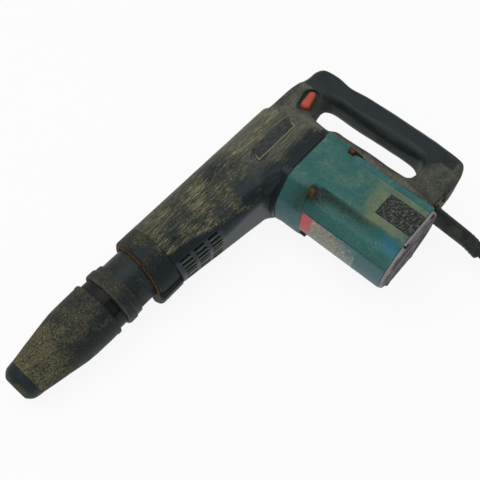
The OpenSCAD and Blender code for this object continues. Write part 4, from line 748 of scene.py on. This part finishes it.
# Painted reflection: a blue gleam at the flutes' foot and a little on the ledge.
blue = np.clip(ease(dug / 3.0) * ease((-158 - depth) / 22) + 0.22 * ledge, 0, 1)
motor_cool = ease((-np.cos(motor_a) - 0.9) / 0.06) + 0 * motor_wall
motor = marked(skin("motor_housing_moulding", lay(motor_p)), tan=tan, dirt=grime_and_shade, blue=blue, cool=motor_cool)
# Moulded plastic, half glossy: teal clouded from dark to pale, with tan stains, black-green grime and painted
# shade in the hollows, a painted blue gleam at the flutes' foot and pale nicks.
teal_patch_mm, teal_speck_mm, nick_mm = 24.0, 2.0, 5.0
teal, tree = new_material("stained_teal_plastic")
where = tool_coordinates(tree)
patch = add(tree, "TexNoise", where, Scale=1000 / teal_patch_mm, Detail=9.0, Roughness=0.72)
speck = add(tree, "TexNoise", where, Scale=1000 / teal_speck_mm, Detail=4.0, Roughness=0.65)
marks = {
    name: add(tree, "Attribute", attribute_name=name).outputs["Fac"]
    for name in ("tan", "dirt", "blue", "cool")
}
colour = add(tree, "Mix", patch, "#164a48", "#39716b", data_type="RGBA")
colour = add(tree, "Mix", marks["cool"], colour, "#496a70", data_type="RGBA")
share = add(tree, "Math", marks["blue"], 0.56, operation="MULTIPLY")
colour = add(tree, "Mix", share, colour, "#236f8c", data_type="RGBA")
level = add(tree, "Math", marks["tan"], 0.3, patch, operation="MULTIPLY_ADD")
level = add(tree, "Math", speck, 0.6, level, operation="MULTIPLY_ADD")
share = add(tree, "MapRange", level, 0.86, 1.34, 0.0, 0.72, interpolation_type="SMOOTHSTEP")
colour = add(tree, "Mix", share, colour, "#7d7c58", data_type="RGBA")
level = add(tree, "Math", marks["dirt"], 0.5, patch, operation="MULTIPLY_ADD")
level = add(tree, "Math", speck, 0.3, level, operation="MULTIPLY_ADD")
grime_shade_share = add(tree, "MapRange", level, 0.68, 1.2, 0.0, 0.92, interpolation_type="SMOOTHSTEP")
colour = add(tree, "Mix", grime_shade_share, colour, "#182a22", data_type="RGBA")
nick = add(tree, "TexNoise", where, Scale=1000 / nick_mm, Detail=5.0, Roughness=0.65, Distortion=0.8)
nick = add(tree, "Math", nick, 0.5, operation="PINGPONG")
nick = add(tree, "MapRange", nick, 0.46, 0.5)
nick = add(tree, "Math", nick, patch, operation="MULTIPLY")
nick = add(tree, "MapRange", nick, 0.34, 0.62, 0.0, 0.6)
colour = add(tree, "Mix", nick, colour, "#8aa48f", data_type="RGBA")
gloss = add(tree, "Math", share, 0.3, 0.5, operation="MULTIPLY_ADD")
height = add(tree, "Math", speck, 0.6, grime_shade_share, operation="MULTIPLY_ADD")
grain = add(tree, "Bump", Strength=0.5, Distance=0.00012, Height=height)
add(tree, "OutputMaterial", add(
    tree, "BsdfPrincipled", Base_Color=colour, Roughness=gloss, Normal=grain, IOR=1.48,
    Specular_IOR_Level=0.28,
))
motor.data.materials.append(teal)
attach(motor, "casing")
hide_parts("motor_housing")

# Motor bolts: four hexagon-headed steel bolts in the flange's corners, which draw the motor up to the gear
# plate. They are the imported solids, in the neck ring's rust.
paint(rust, "motor_bolts")

# Brush covers: moulded lids pressed into a window in each flat, over the carbon brushes. They end at the rear
# cover.
brush_loop = bevelled([[-14, -191.1], [14, -191.1], [14, -149.7], [-14, -149.7]], 1.2, 1.0)
brush_mid = np.array([0.0, -169.7])
brush_rows = [
    (1.0, 45.7), (1.0, 48.9), (0.985, 49.2), (0.9, 49.25), (0.7, 49.25), (0.4, 49.25), (0.03, 49.25),
]
# Moulded black plastic: coarse as sandpaper, with grey specks of cement.
coarse = worn_material(
    "cement_flecked_black_plastic", ("#131516", "#1f2121"), ("#4b4b46", "#7c7b70"), 0.42, 0.6,
    patch_mm=2.6, speck_mm=0.9, pit_mm=0.25,
)
for name, side in (("brush_cover_left", 1), ("brush_cover_right", -1)):
    lid_p = np.stack([
        np.column_stack([brush_mid + (brush_loop - brush_mid) * k, np.full(len(brush_loop), side * z)])
        for k, z in brush_rows
    ])
    lid = skin(name, lay(lid_p))
    lid.data.materials.append(coarse)
    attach(lid, "casing")
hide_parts("brush_covers")

# Rear cover: a lid cast in light grey alloy and screwed to the end of the housing. Its edge slopes, and the
# flutes run on into it as two shallow notches.
rear_a = np.radians(np.arange(0, 360, 1.5))
rear_loop = bevelled(
    [
        [-191.2, 4], [-191.2, 46.4], [-191.8, 47.0], [-193.6, 46.6], [-195.2, 40.0], [-195.8, 34],
        [-195.4, 30], [-195.4, 4],
    ],
    [0, 0.3, 0.4, 0.9, 2.5, 0.8, 0.8, 0], 1.5,
)
rear_full_r = 47.6
rear_r = motor_edge(rear_a, False) * rear_loop[:, 1:] / rear_full_r
for side in (1, -1):
    rear_r = soft_min(rear_r, flute_wall(rear_a, side), 2.5)
rear_y = rear_loop[:, :1] + 0 * rear_a
rear_p = np.stack([rear_r * np.cos(rear_a), rear_y, rear_r * np.sin(rear_a)], -1)
rear = skin("rear_cover_casting", lay(rear_p))
rear_wear = np.exp(-(((rear_y + 192.4) / 1.2) ** 2))
# The sloping edge and face take dark dust colours as painted shade.
marked(rear, dirt=0.22 * ease((-193.8 - rear_y) / 1.0) - 0.06, wear=rear_wear)
# Sand-cast alloy: dull grey with a violet cast, chipped bright along its edge, and its face darkened in dust
# colours as painted shade.
grey_cast = worn_material(
    "chipped_grey_casting", ("#716e74", "#98949a"), ("#2a2a2a", "#454443"), 0.42, 0.55,
    patch_mm=16, speck_mm=1.1, soft=1.8, edge="#8d8b8e",
)
rear.data.materials.append(grey_cast)
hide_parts("rear_cover")
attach(rear, "casing")

# Rear cover screws: four round-headed steel screws sunk in the lid's sloping edge. They share the tool
# holder's oily dark steel, so only small black caps show.
screw_sides = 28
screw_a = np.linspace(0, 2 * np.pi, screw_sides, endpoint=False)
screw_rows = ((3.2, -192.0), (3.2, -194.4), (2.9, -194.9), (2.2, -195.1), (0.3, -195.1))
for name, head_x, head_z in (("a", 22, 44), ("b", 22, -44), ("c", -22, 44), ("d", -22, -44)):
    head_p = np.stack([
        np.column_stack([head_x + r * np.cos(screw_a), np.full(screw_sides, y), head_z + r * np.sin(screw_a)])
        for r, y in screw_rows
    ])
    head = skin("rear_cover_screw_" + name, lay(head_p))
    head.data.materials.append(dark_steel)
    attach(head, "casing")
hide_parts("rear_cover_screws")

# Rating label: a thin printed foil glued round the front of the housing. Its top is red, and the grey and tan
# field below is scraped off down to the shell in patches.
label_gap, label_low, label_high = 0.15, -157.5, -87.5
label_a = np.radians(np.linspace(180 - 21, 180 + 16, 60))
label_y = np.linspace(label_low, label_high, 80)[:, None]
label_r = motor_edge(label_a, False) + label_gap + 0 * label_y
label_p = np.stack([label_r * np.cos(label_a), label_y + 0 * label_a, label_r * np.sin(label_a)], -1)
label_back = label_p * [0.97, 1, 0.97]
rows, cols = label_r.shape
both_sides = np.concatenate([label_p.reshape(-1, 3), label_back.reshape(-1, 3)])
edge_loop = np.concatenate([
    np.arange(cols), np.arange(1, rows) * cols + cols - 1, (rows - 1) * cols + np.arange(cols - 2, -1, -1),
    np.arange(rows - 2, 0, -1) * cols,
])
next_loop = np.roll(edge_loop, -1)
sheet = np.array(grid_faces(rows, cols, False))
wall = np.column_stack([edge_loop, next_loop, next_loop + rows * cols, edge_loop + rows * cols])
label_faces = np.concatenate([sheet, sheet + rows * cols, wall]).tolist()
label = put_mesh("rating_label_foil", lay(both_sides), label_faces)
across_label = np.tile(np.linspace(0, 1, cols), rows)
up_label = np.repeat(np.linspace(0, 1, rows), cols)
marked(label, across=np.tile(across_label, 2), up=np.tile(up_label, 2))
# Printed foil, satin: a red field, then grey and tan paper with pale tears and dark specks, and teal where it
# is gone.
flake_mm, paper_mm = 5.0, 1.6
foil, tree = new_material("flaked_printed_foil")
where = tool_coordinates(tree)
flake = add(tree, "TexNoise", where, Scale=1000 / flake_mm, Detail=8.0, Roughness=0.8)
fine = add(tree, "TexNoise", where, Scale=1000 / paper_mm, Detail=4.0, Roughness=0.65)
up = add(tree, "Attribute", attribute_name="up").outputs["Fac"]
across = add(tree, "Attribute", attribute_name="across").outputs["Fac"]
print_c = add(tree, "Mix", fine, "#50585a", "#a3a092", data_type="RGBA")
warm = add(tree, "Math", across, -0.25, flake, operation="MULTIPLY_ADD")
warm = add(tree, "MapRange", warm, 0.36, 0.56, 0.0, 0.75)
print_c = add(tree, "Mix", warm, print_c, "#a08a6a", data_type="RGBA")
torn = add(tree, "MapRange", fine, 0.58, 0.64)
print_c = add(tree, "Mix", torn, print_c, "#d0cdc0", data_type="RGBA")
dark = add(tree, "MapRange", fine, 0.4, 0.34)
print_c = add(tree, "Mix", dark, print_c, "#2f3a3c", data_type="RGBA")
red_top = add(tree, "Math", flake, 0.05, up, operation="MULTIPLY_ADD")
red_top = add(tree, "MapRange", red_top, 0.84, 0.85)
red_c = add(tree, "Mix", fine, "#b5484c", "#d0666a", data_type="RGBA")
print_c = add(tree, "Mix", red_top, print_c, red_c, data_type="RGBA")
left = add(tree, "Math", up, 0.24, flake, operation="MULTIPLY_ADD")
left = add(tree, "Math", across, 0.18, left, operation="MULTIPLY_ADD")
gone = add(tree, "MapRange", left, 0.612, 0.59)
keep_red = add(tree, "Math", gone, red_top, operation="SUBTRACT", use_clamp=True)
print_c = add(tree, "Mix", keep_red, print_c, "#44707a", data_type="RGBA")
lift = add(tree, "Bump", Strength=0.5, Distance=0.0001, Height=keep_red, invert=True)
add(tree, "OutputMaterial", add(tree, "BsdfPrincipled", Base_Color=print_c, Roughness=0.5, Normal=lift))
label.data.materials.append(foil)
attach(label, "casing")
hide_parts("rating_label")

# Handle: one closed loop round the hand hole, screwed to cover and motor. The frame, from the seam with the
# cover along the strip beside the motor to the block at the cord, is nylon; the grip behind the hole is
# moulded rubber.
stations = np.array([
    # outer x, outer y, half width there, inner x, inner y, half width there, corner radius
    [30, -44, 46.5, 52.5, -47, 26, 8], [30, -20, 40.5, 54, -32, 26, 8],
    [30, 0, 36.3, 56.5, -21, 25.5, 8], [30.2, 18, 31, 60, -15, 25, 8], [31, 30, 20, 64.5, -12.8, 25, 8],
    [36, 33.2, 13.5, 69, -12.2, 25, 8], [46, 31.4, 15.5, 74, -11.8, 25, 8],
    [57, 29.4, 19.5, 79, -11, 24.5, 8], [74, 27.7, 22.5, 84.5, -9.8, 23.8, 8],
    [88, 25.4, 22.6, 89, -9.4, 22.8, 8], [91, 25, 21.5, 91.5, -10, 21, 9],
    [104, 24.2, 19, 95, -13.2, 17.5, 10], [118.5, 24, 18, 97, -19, 16, 11],
    [127.6, 20, 17.5, 97.4, -26, 15.5, 12], [130.4, 9.6, 17.5, 97.4, -33, 15.5, 12],
    [130.2, -3, 17.5, 97, -43, 15.5, 12], [127.4, -21, 17.5, 96.6, -58, 15.5, 12],
    [129.6, -42, 17.5, 96.4, -71, 15.5, 12], [131, -80, 17.5, 96.4, -92, 15.5, 12],
    [130.4, -116, 17.5, 96.6, -114, 15.5, 12], [129, -138, 18, 97, -129, 16, 11],
    [127, -152, 18.4, 96.4, -137.4, 17, 10], [125, -163.5, 18.8, 94, -143, 18.5, 9],
    [123, -173, 19, 90.5, -146.4, 20, 8], [120, -180.6, 19.4, 86, -148.2, 20.5, 8],
    [110, -185.4, 20.3, 80, -148.6, 21, 8], [96, -188, 21, 75, -148.6, 21.5, 8],
    [75, -188.6, 21.8, 70, -147.8, 22, 8], [56, -188, 22.4, 65, -146, 22.5, 8],
    [45, -185.5, 24, 60.4, -140, 23, 8], [38, -178, 38, 57.6, -131, 24, 4.5],
    [36.4, -160, 39.6, 57.4, -116, 24, 4], [36, -125, 40, 58.4, -98, 24, 4],
    [36.4, -104, 39.6, 58.2, -86, 24, 4], [40.5, -95, 38.6, 57.8, -79, 24, 4],
    [40.5, -82, 38.6, 57.4, -71, 24, 4], [36, -72, 40.4, 57, -64, 25, 4.5],
    [33, -54, 44, 56.4, -54.5, 26.5, 6],
], float)


def curve_through(p, steps):
    """Catmull-Rom curve: the span from b to c is the cubic that leaves b along (c - a) / 2 and reaches c
    along (d - b) / 2."""
    p = np.asarray(p, float)
    q = np.vstack([2 * p[0] - p[1], p, 2 * p[-1] - p[-2]])
    t = np.linspace(0, 1, steps, endpoint=False)[None, :, None]
    a, b, c, d = q[:-3, None], q[1:-2, None], q[2:-1, None], q[3:, None]
    span = b + 0.5 * t * ((c - a) + t * ((2 * a - 5 * b + 4 * c - d) + t * (3 * (b - c) + d - a)))
    return np.vstack([span.reshape(-1, p.shape[1]), p[-1:]])


per_station = 22
looped = np.concatenate([stations[-1:], stations, stations[:2]])
sections = curve_through(looped, per_station)[per_station : per_station * (len(stations) + 1)]
outer_xy, outer_w, inner_xy, inner_w = sections[:, 0:2], sections[:, 2:3], sections[:, 3:5], sections[:, 5:6]
thick = np.linalg.norm(outer_xy - inner_xy, axis=1, keepdims=True)
round_r = np.minimum(sections[:, 6:7], 0.48 * thick)
# One section: quarter arcs of the corner radius with straight runs between them, points spread by length.
quarter = np.linspace(0, np.pi / 2, 13)
arc = np.concatenate([quarter + k * np.pi / 2 for k in range(4)])
box_c, box_s = np.repeat([1, -1, -1, 1], 13), np.repeat([1, 1, -1, -1], 13)
outward = 0.5 + ((thick / 2 - round_r) * box_c + round_r * np.cos(arc)) / thick
side_w = (inner_w + (outer_w - inner_w) * outward - round_r) * box_s + round_r * np.sin(arc)
fill = np.linspace(0, 1, 26, endpoint=False)[1:]


def spread(values):
    """Inserts evenly spaced points in the two long side runs of each section, after its first and third
    arcs."""
    first = values[:, 12:13] + (values[:, 13:14] - values[:, 12:13]) * fill
    third = values[:, 38:39] + (values[:, 39:40] - values[:, 38:39]) * fill
    return np.concatenate([values[:, :13], first, values[:, 13:39], third, values[:, 39:]], axis=1)


outward, side_w = spread(outward), spread(side_w)
handle_x = inner_xy[:, :1] + (outer_xy - inner_xy)[:, :1] * outward
handle_y = inner_xy[:, 1:] + (outer_xy - inner_xy)[:, 1:] * outward
# An oval recess round the lever on both sides, and a dent in the block's outer corner.
lever_at, lever_turn = np.array([72.0, -1.5]), np.radians(11)
lever_way = np.array([np.cos(lever_turn), np.sin(lever_turn)])
lever_half, recess_r, recess_z = 8, 10.4, 18.6
lever_dx, lever_dy = handle_x - lever_at[0], handle_y - lever_at[1]
on_line = lever_dx * lever_way[0] + lever_dy * lever_way[1]
off_line = lever_dy * lever_way[0] - lever_dx * lever_way[1]
from_line = np.hypot(np.maximum(np.abs(on_line) - lever_half, 0), off_line)
recess = ease((recess_r - from_line) / 1.6) * ease((np.abs(side_w) - 15) / 3)
handle_z = side_w - np.sign(side_w) * recess * np.maximum(np.abs(side_w) - recess_z, 0)
dent = ease((9 - np.abs(handle_x - 110)) / 3)
dent = dent * ease((8.5 - np.abs(handle_y + 167 - 0.3 * (handle_x - 110))) / 3)
dent = dent * ease((np.abs(side_w) - 9) / 5)
handle_z = handle_z - 1.6 * np.sign(side_w) * dent
handle_p = np.stack([handle_x, handle_y, handle_z], -1)
handle_p[..., 2] += 0.15 * lumps(handle_p, 26, 7) * np.sign(side_w)
station = np.arange(len(handle_x)) / per_station
grip_rows = np.flatnonzero((station > 9.75) & (station < 23.6))
frame_rows = np.concatenate([np.arange(grip_rows[-1], len(handle_x)), np.arange(grip_rows[0] + 1)])


def band(name, ring_rows, push, **marks):
    """Closed piece from a run of the handle's sections, with its end rings drawn in by push mm to show the
    joint."""
    p = handle_p[ring_rows].copy()
    middle = p.mean(1, keepdims=True)
    for k, row in ((0.6, 0), (0.2, 1), (0.2, -2), (0.6, -1)):
        p[row] = p[row] - push * k * unit(p[row] - middle[row])
    return marked(skin(name, lay(p)), **{n: v[ring_rows] for n, v in marks.items()})


low_rim = np.exp(-(((handle_y + 184.5) / 2.0) ** 2)) * (handle_x > 50)
hole_rim = np.exp(-(((outward - 0.06) / 0.05) ** 2))
# Dust is kept off the lever's recess and the block's dent, so their bare dark colour is painted shade.
handle_dirt = -0.5 * recess + 0.03 * (side_w > 0) - 0.06 * (handle_x > 88) - 0.4 * dent
handle_dirt = handle_dirt + 0.2 * ease((54 - handle_x) / 14) * (side_w > 0)
joint_in = 0.7
handle_frame = band(
    "handle_frame_moulding", frame_rows, joint_in, dirt=handle_dirt, wear=0.5 * low_rim + 0.3 * hole_rim
)
# Moulded nylon with an even coat of cement dust: grey-olive and matt, rubbed pale along its rims.
dusty_nylon = worn_material(
    "dusty_black_nylon", ("#1f2425", "#303633"), ("#4a4a41", "#67665a"), 0.52, 0.55,
    patch_mm=26, speck_mm=1.3, drag=0.4, soft=2.2, edge="#77725a", fleck="#96937f",
)
handle_frame.data.materials.append(dusty_nylon)
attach(handle_frame, "casing")
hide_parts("handle_frame")
grip = band("handle_grip_rubber", grip_rows, joint_in, dirt=handle_dirt)
# Moulded rubber polished by hands: an even charcoal with a soft sheen.
charcoal = worn_material(
    "charcoal_grip_rubber", ("#1c2123", "#282e30"), ("#303330", "#40413c"), 0.3, 0.46,
    patch_mm=30, speck_mm=1.2, pit_mm=0.07,
)
grip.data.materials.append(charcoal)
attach(grip, "casing")
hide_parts("handle_grip")

# Switch lever: a moulded lever that slides through the handle from side to side. It stands proud in the oval
# recess, longer than it is wide and a little narrower at its rear end.
lever_r, lever_sides = 4.8, 64
lever_a = np.linspace(0, 2 * np.pi, lever_sides, endpoint=False)
lever_x = np.sign(np.cos(lever_a)) * lever_half + lever_r * np.cos(lever_a)
lever_y = lever_r * np.sin(lever_a) * (1 - 0.018 * lever_x)
lever_rows = [
    (0.02, 26.2), (0.4, 26.1), (0.72, 25.6), (0.9, 24.7), (0.98, 23.4), (1.0, 21.5), (1.0, 0.0), (1.0, -17.0),
    (0.98, -19.0), (0.9, -19.9), (0.5, -20.3), (0.02, -20.4),
]
lever_xy = lever_x[:, None] * lever_way + lever_y[:, None] * [-lever_way[1], lever_way[0]]
lever_p = np.stack([
    np.column_stack([lever_at + lever_xy * k, np.full(lever_sides, z)]) for k, z in lever_rows
])
lever = skin("switch_lever_red", lay(lever_p))
# Moulded plastic, satin: orange-red, browned by handling.
red = worn_material(
    "scuffed_orange_red_plastic", ("#a8452f", "#bf5840"), ("#73382a", "#8a5240"), 0.3, 0.42,
    patch_mm=6, speck_mm=1.0, pit_mm=0.04,
)
lever.data.materials.append(red)
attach(lever, "lever")
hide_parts("switch_lever")

# Cord clamp: a steel tab bent to shape and two screws, which hold the cord's guard in the handle's block.
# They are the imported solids.
# Steel gone dull: dark brown stains with grey dust on them.
clamp_rust = worn_material(
    "rust_stained_steel", ("#1d1610", "#33271b"), ("#4a4130", "#6b624c"), 0.4, 0.6, patch_mm=8, speck_mm=1.2
)
paint(clamp_rust, "cord_clamp", "clamp_screws")


# Mains cord: 4.3 m of 9 mm rubber-sheathed flex. It leaves the guard, droops to the floor and is wound into
# a flat coil of four layers, and its tail comes round the outside to the plug.
def rings_along(line, radius, sides, up=(0.0, 0.0, 1.0)):
    """Rings round a line: centre + radius * (cos a * side + sin a * over), where side and over stand square
    to the line."""
    ahead = unit(np.gradient(line, axis=0))
    side = unit(np.cross(ahead, up))
    over = np.cross(side, ahead)
    a = np.linspace(0, 2 * np.pi, sides, endpoint=False)[None, :, None]
    r = np.broadcast_to(radius, len(line))[:, None, None]
    return line[:, None] + r * (np.cos(a) * side[:, None] + np.sin(a) * over[:, None])


cord_d, coil_turns, coil_layers = 9.0, 3, 4
guard_tip = np.array([181.865, -157.849, 29.7535])
coil_floor, cord_gap, coil_mean_r, plug_z = 6.3, 0.7, 52.0, 10.0
turn_step = cord_d + cord_gap
coil_out_r = coil_mean_r + coil_turns * turn_step / 2
lead_steps = np.array([
    [0, 0, 0], [1.4, -10, 0.2], [2.8, -20, 0.38], [4.1, -30, 0.54], [5.3, -40, 0.68], [6.4, -50, 0.8],
    [7.3, -60, 0.89], [8, -70, 0.95], [8.5, -80, 0.985], [8.8, -90, 1], [9, -100, 1], [9, -110, 1],
])
lead = guard_tip + lead_steps * [1, 1, coil_floor - guard_tip[2]]
coil_centre = np.array([lead[-1, 0] + coil_out_r, lead[-1, 1], 0])
wound = np.linspace(0, coil_turns * coil_layers, coil_turns * coil_layers * 40 + 1)
layer = np.minimum(np.floor(wound / coil_turns), coil_layers - 1)
inward = wound - layer * coil_turns
inward = np.where(layer % 2 == 0, inward, coil_turns - inward)
climbed = sum(ease(2 * (wound - k * coil_turns) + 0.5) for k in range(1, coil_layers))
coil_a, coil_r = np.pi + 2 * np.pi * wound, coil_out_r - turn_step * inward
coil_z = coil_floor + turn_step * climbed
coil = coil_centre + np.column_stack([coil_r * np.cos(coil_a), coil_r * np.sin(coil_a), coil_z])
tail_steps = np.array([
    [0, 0, 0], [8, 0.5, 0], [20, 2, 0.03], [35, 4.5, 0.12], [50, 7, 0.25], [65, 9, 0.4], [80, 10.5, 0.55],
    [95, 11.5, 0.69], [110, 12, 0.81], [125, 12, 0.9], [140, 12, 0.96], [155, 12, 0.99], [168, 12, 1],
    [180, 12, 1],
])
tail_a, tail_r = np.pi + np.radians(tail_steps[:, 0]), coil_out_r + tail_steps[:, 1]
tail_z = coil_z[-1] + tail_steps[:, 2] * (plug_z - coil_z[-1])
tail = coil_centre + np.column_stack([tail_r * np.cos(tail_a), tail_r * np.sin(tail_a), tail_z])
route = np.vstack([curve_through(lead, 4)[:-1], coil[:-1], curve_through(tail, 4)]) / 1000
cord = skin("mains_cord", rings_along(route, cord_d / 2000, 16))
# Extruded rubber: black and half matt, with grey dust lying in patches.
sheath = worn_material(
    "rubber_cord_sheath", ("#15181a", "#212526"), ("#3a3b34", "#4e4c41"), 0.3, 0.5,
    patch_mm=18, speck_mm=1.4, pit_mm=0.06,
)
cord.data.materials.append(sheath)
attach(cord, "casing")
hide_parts("cord_lead", "cord_coil", "cord_tail")

# Cord guard: a sleeve moulded in the cord's rubber, which stiffens the cord where it leaves the handle. It
# tapers from 18.4 to 17.6 mm, sags a little, and has flex rings near its tip.
guard_drop, guard_yaw, guard_length = np.radians(25), np.radians(8), 60.0
guard_way = np.array([
    np.sin(guard_yaw) * np.cos(guard_drop), -np.cos(guard_yaw) * np.cos(guard_drop), -np.sin(guard_drop),
])
guard_s = np.concatenate([np.linspace(-8, 40, 24), np.linspace(40.5, 69.4, 88), [70.0]])
guard_r = 9.2 - 0.4 * np.clip(guard_s / guard_length, 0, 1)
guard_r = guard_r - 0.45 * (guard_s > 47) * (guard_s < 67) * ease(3 * np.sin(guard_s * 2 * np.pi / 5) - 1)
guard_r = guard_r + 0.5 * ease((3 - guard_s) / 2)
guard_r[-1] = guard_r[-2] - 0.6
guard_sag = 3.0 * (guard_s / 35 - 1) * (1 - ease((guard_s - 48) / 22))
guard_line = np.array([59.0, -186.0, 0.0]) + guard_s[:, None] * guard_way + guard_sag[:, None] * [1, 1, 0]
guard = skin("cord_guard_rubber", lay(rings_along(guard_line, guard_r, 40)))
guard.data.materials.append(sheath)
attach(guard, "casing")
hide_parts("cord_guard")


# Coil tie: a flat nylon strap, 12 mm wide, pulled tight once round all the turns of the coil to keep them
# together. Its corners are rounded where it bends round the outer turns.
def box_loop(low, high, corner, count):
    """Rounded rectangle as a loop: a circle of the corner's radius whose four quarters are pushed to the
    corners."""
    a = np.linspace(0, 2 * np.pi, count, endpoint=False) + np.pi / count
    half = (np.asarray(high, float) - low) / 2
    middle = (np.asarray(high, float) + low) / 2
    turn_way = np.column_stack([np.cos(a), np.sin(a)])
    return middle + np.sign(turn_way) * (half - corner) + corner * turn_way


tie_gap, tie_t, tie_w = 0.3, 1.2, 12.0
tie_low = np.array([
    coil_out_r - coil_turns * turn_step - cord_d / 2 - tie_gap, coil_floor - cord_d / 2 - tie_gap,
])
tie_high = np.array([
    coil_out_r + cord_d / 2 + tie_gap, coil_floor + (coil_layers - 1) * turn_step + cord_d / 2 + tie_gap,
])
tie_sides = 64
tie_inner = box_loop(tie_low, tie_high, 4.5, tie_sides)
tie_outer = box_loop(tie_low - tie_t, tie_high + tie_t, 5.2, tie_sides)
strap = np.stack([
    np.column_stack([np.full(tie_sides, x), loop]) for x, loop in
    ((-tie_w / 2, tie_inner), (-tie_w / 2, tie_outer), (tie_w / 2, tie_outer), (tie_w / 2, tie_inner))
], axis=1)
tie = put_mesh("coil_strap", (coil_centre + strap) / 1000, grid_faces(tie_sides, 4, True, True), False)
# Moulded nylon: plain black, smoother than the rubber it holds.
nylon = worn_material(
    "nylon_strap", ("#161718", "#1f2122"), ("#3c3c38", "#4b4a44"), 0.2, 0.42,
    patch_mm=14, speck_mm=1.0, pit_mm=0.05,
)
tie.data.materials.append(nylon)
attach(tie, "casing")
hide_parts("coil_tie")

# Plug: a two-blade plug moulded on the cord's end in the same rubber, with a ribbed neck to bend at. The
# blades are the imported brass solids.
plug_at = tail[-1]
neck_l, neck_half, neck_flare, body_half = 26, 5.5, np.array([2.6, 2.2]), np.array([14, 10])
body_rings = [27, 28.5, 30.5, 33, 45, 58, 61, 62.8, 63.7, 64]
plug_s = np.concatenate([np.linspace(0, neck_l, 53), body_rings])[:, None]
grow = ease((plug_s - 22) / 9)
rib = 0.6 * (plug_s < 23) * (plug_s > 2) * ease(2 * np.sin(plug_s * 2 * np.pi / 4.2) - 0.4)
shut = 1 - 0.16 * np.clip((plug_s - 60) / 4, 0, 1) ** 2
plug_half = neck_half + neck_flare * np.clip(plug_s / neck_l, 0, 1)
plug_half = plug_half + grow * (body_half - neck_half - neck_flare)
plug_half = plug_half * shut - rib
plug_a = np.linspace(0, 2 * np.pi, 48, endpoint=False)
square = 0.9 - 0.45 * grow
plug_x = plug_half[:, :1] * np.sign(np.cos(plug_a)) * np.abs(np.cos(plug_a)) ** square
plug_h = plug_half[:, 1:] * np.sign(np.sin(plug_a)) * np.abs(np.sin(plug_a)) ** square
plug_y = np.broadcast_to(plug_s, plug_x.shape)
plug = skin("mains_plug", (plug_at + np.stack([plug_x, plug_y, plug_h], -1)) / 1000)
plug.data.materials.append(sheath)
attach(plug, "casing")
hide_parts("plug_body")

# Inner parts: everything the shells hide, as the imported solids: striker, piston and crank of ground steel,
# wound motor, fan, brushes and switch. Each has the plain, slightly mottled look of its own stuff.
mottle_mm = 4.0
inner_looks = (
    ("bright_brass", "#a98a4d", 0.9, 0.35, ("brush_holders", "brush_springs", "plug_blades")),
    ("enamelled_copper_wire", "#8a4a22", 0.7, 0.4, ("field_windings", "armature_windings", "commutator")),
    ("silicon_steel_laminations", "#55575a", 0.6, 0.5, ("field_stator", "armature_core")),
    ("pressed_carbon", "#1a1a1b", 0.0, 0.6, ("carbon_brushes",)),
    ("oily_black_rubber", "#1a1a1b", 0.0, 0.6, ("impact_damper", "striker_seal")),
    ("black_plastic_inside", "#202224", 0.0, 0.5, ("fan", "fan_baffle", "brush_caps", "switch_body")),
    ("cast_aluminium", "#8e9092", 0.7, 0.55, ("crank_housing",)),
)
for name, code, metal, rough, members in inner_looks:
    stuff, tree = new_material(name)
    where = tool_coordinates(tree)
    mottle = add(tree, "TexNoise", where, Scale=1000 / mottle_mm, Detail=4.0, Roughness=0.6)
    dim = add(tree, "MapRange", mottle, 0.3, 0.7, 0.75, 1.1)
    tint = add(tree, "HueSaturation", Color=code, Value=dim)
    add(tree, "OutputMaterial", add(tree, "BsdfPrincipled", Base_Color=tint, Roughness=rough, Metallic=metal))
    paint(stuff, *members)
paint(
    bright_steel, "cylinder_liner", "striker", "piston", "piston_pin", "connecting_rod", "crankshaft",
    "crank_bearing", "crank_gear", "armature_shaft", "armature_bearings", "handle_screws",
)
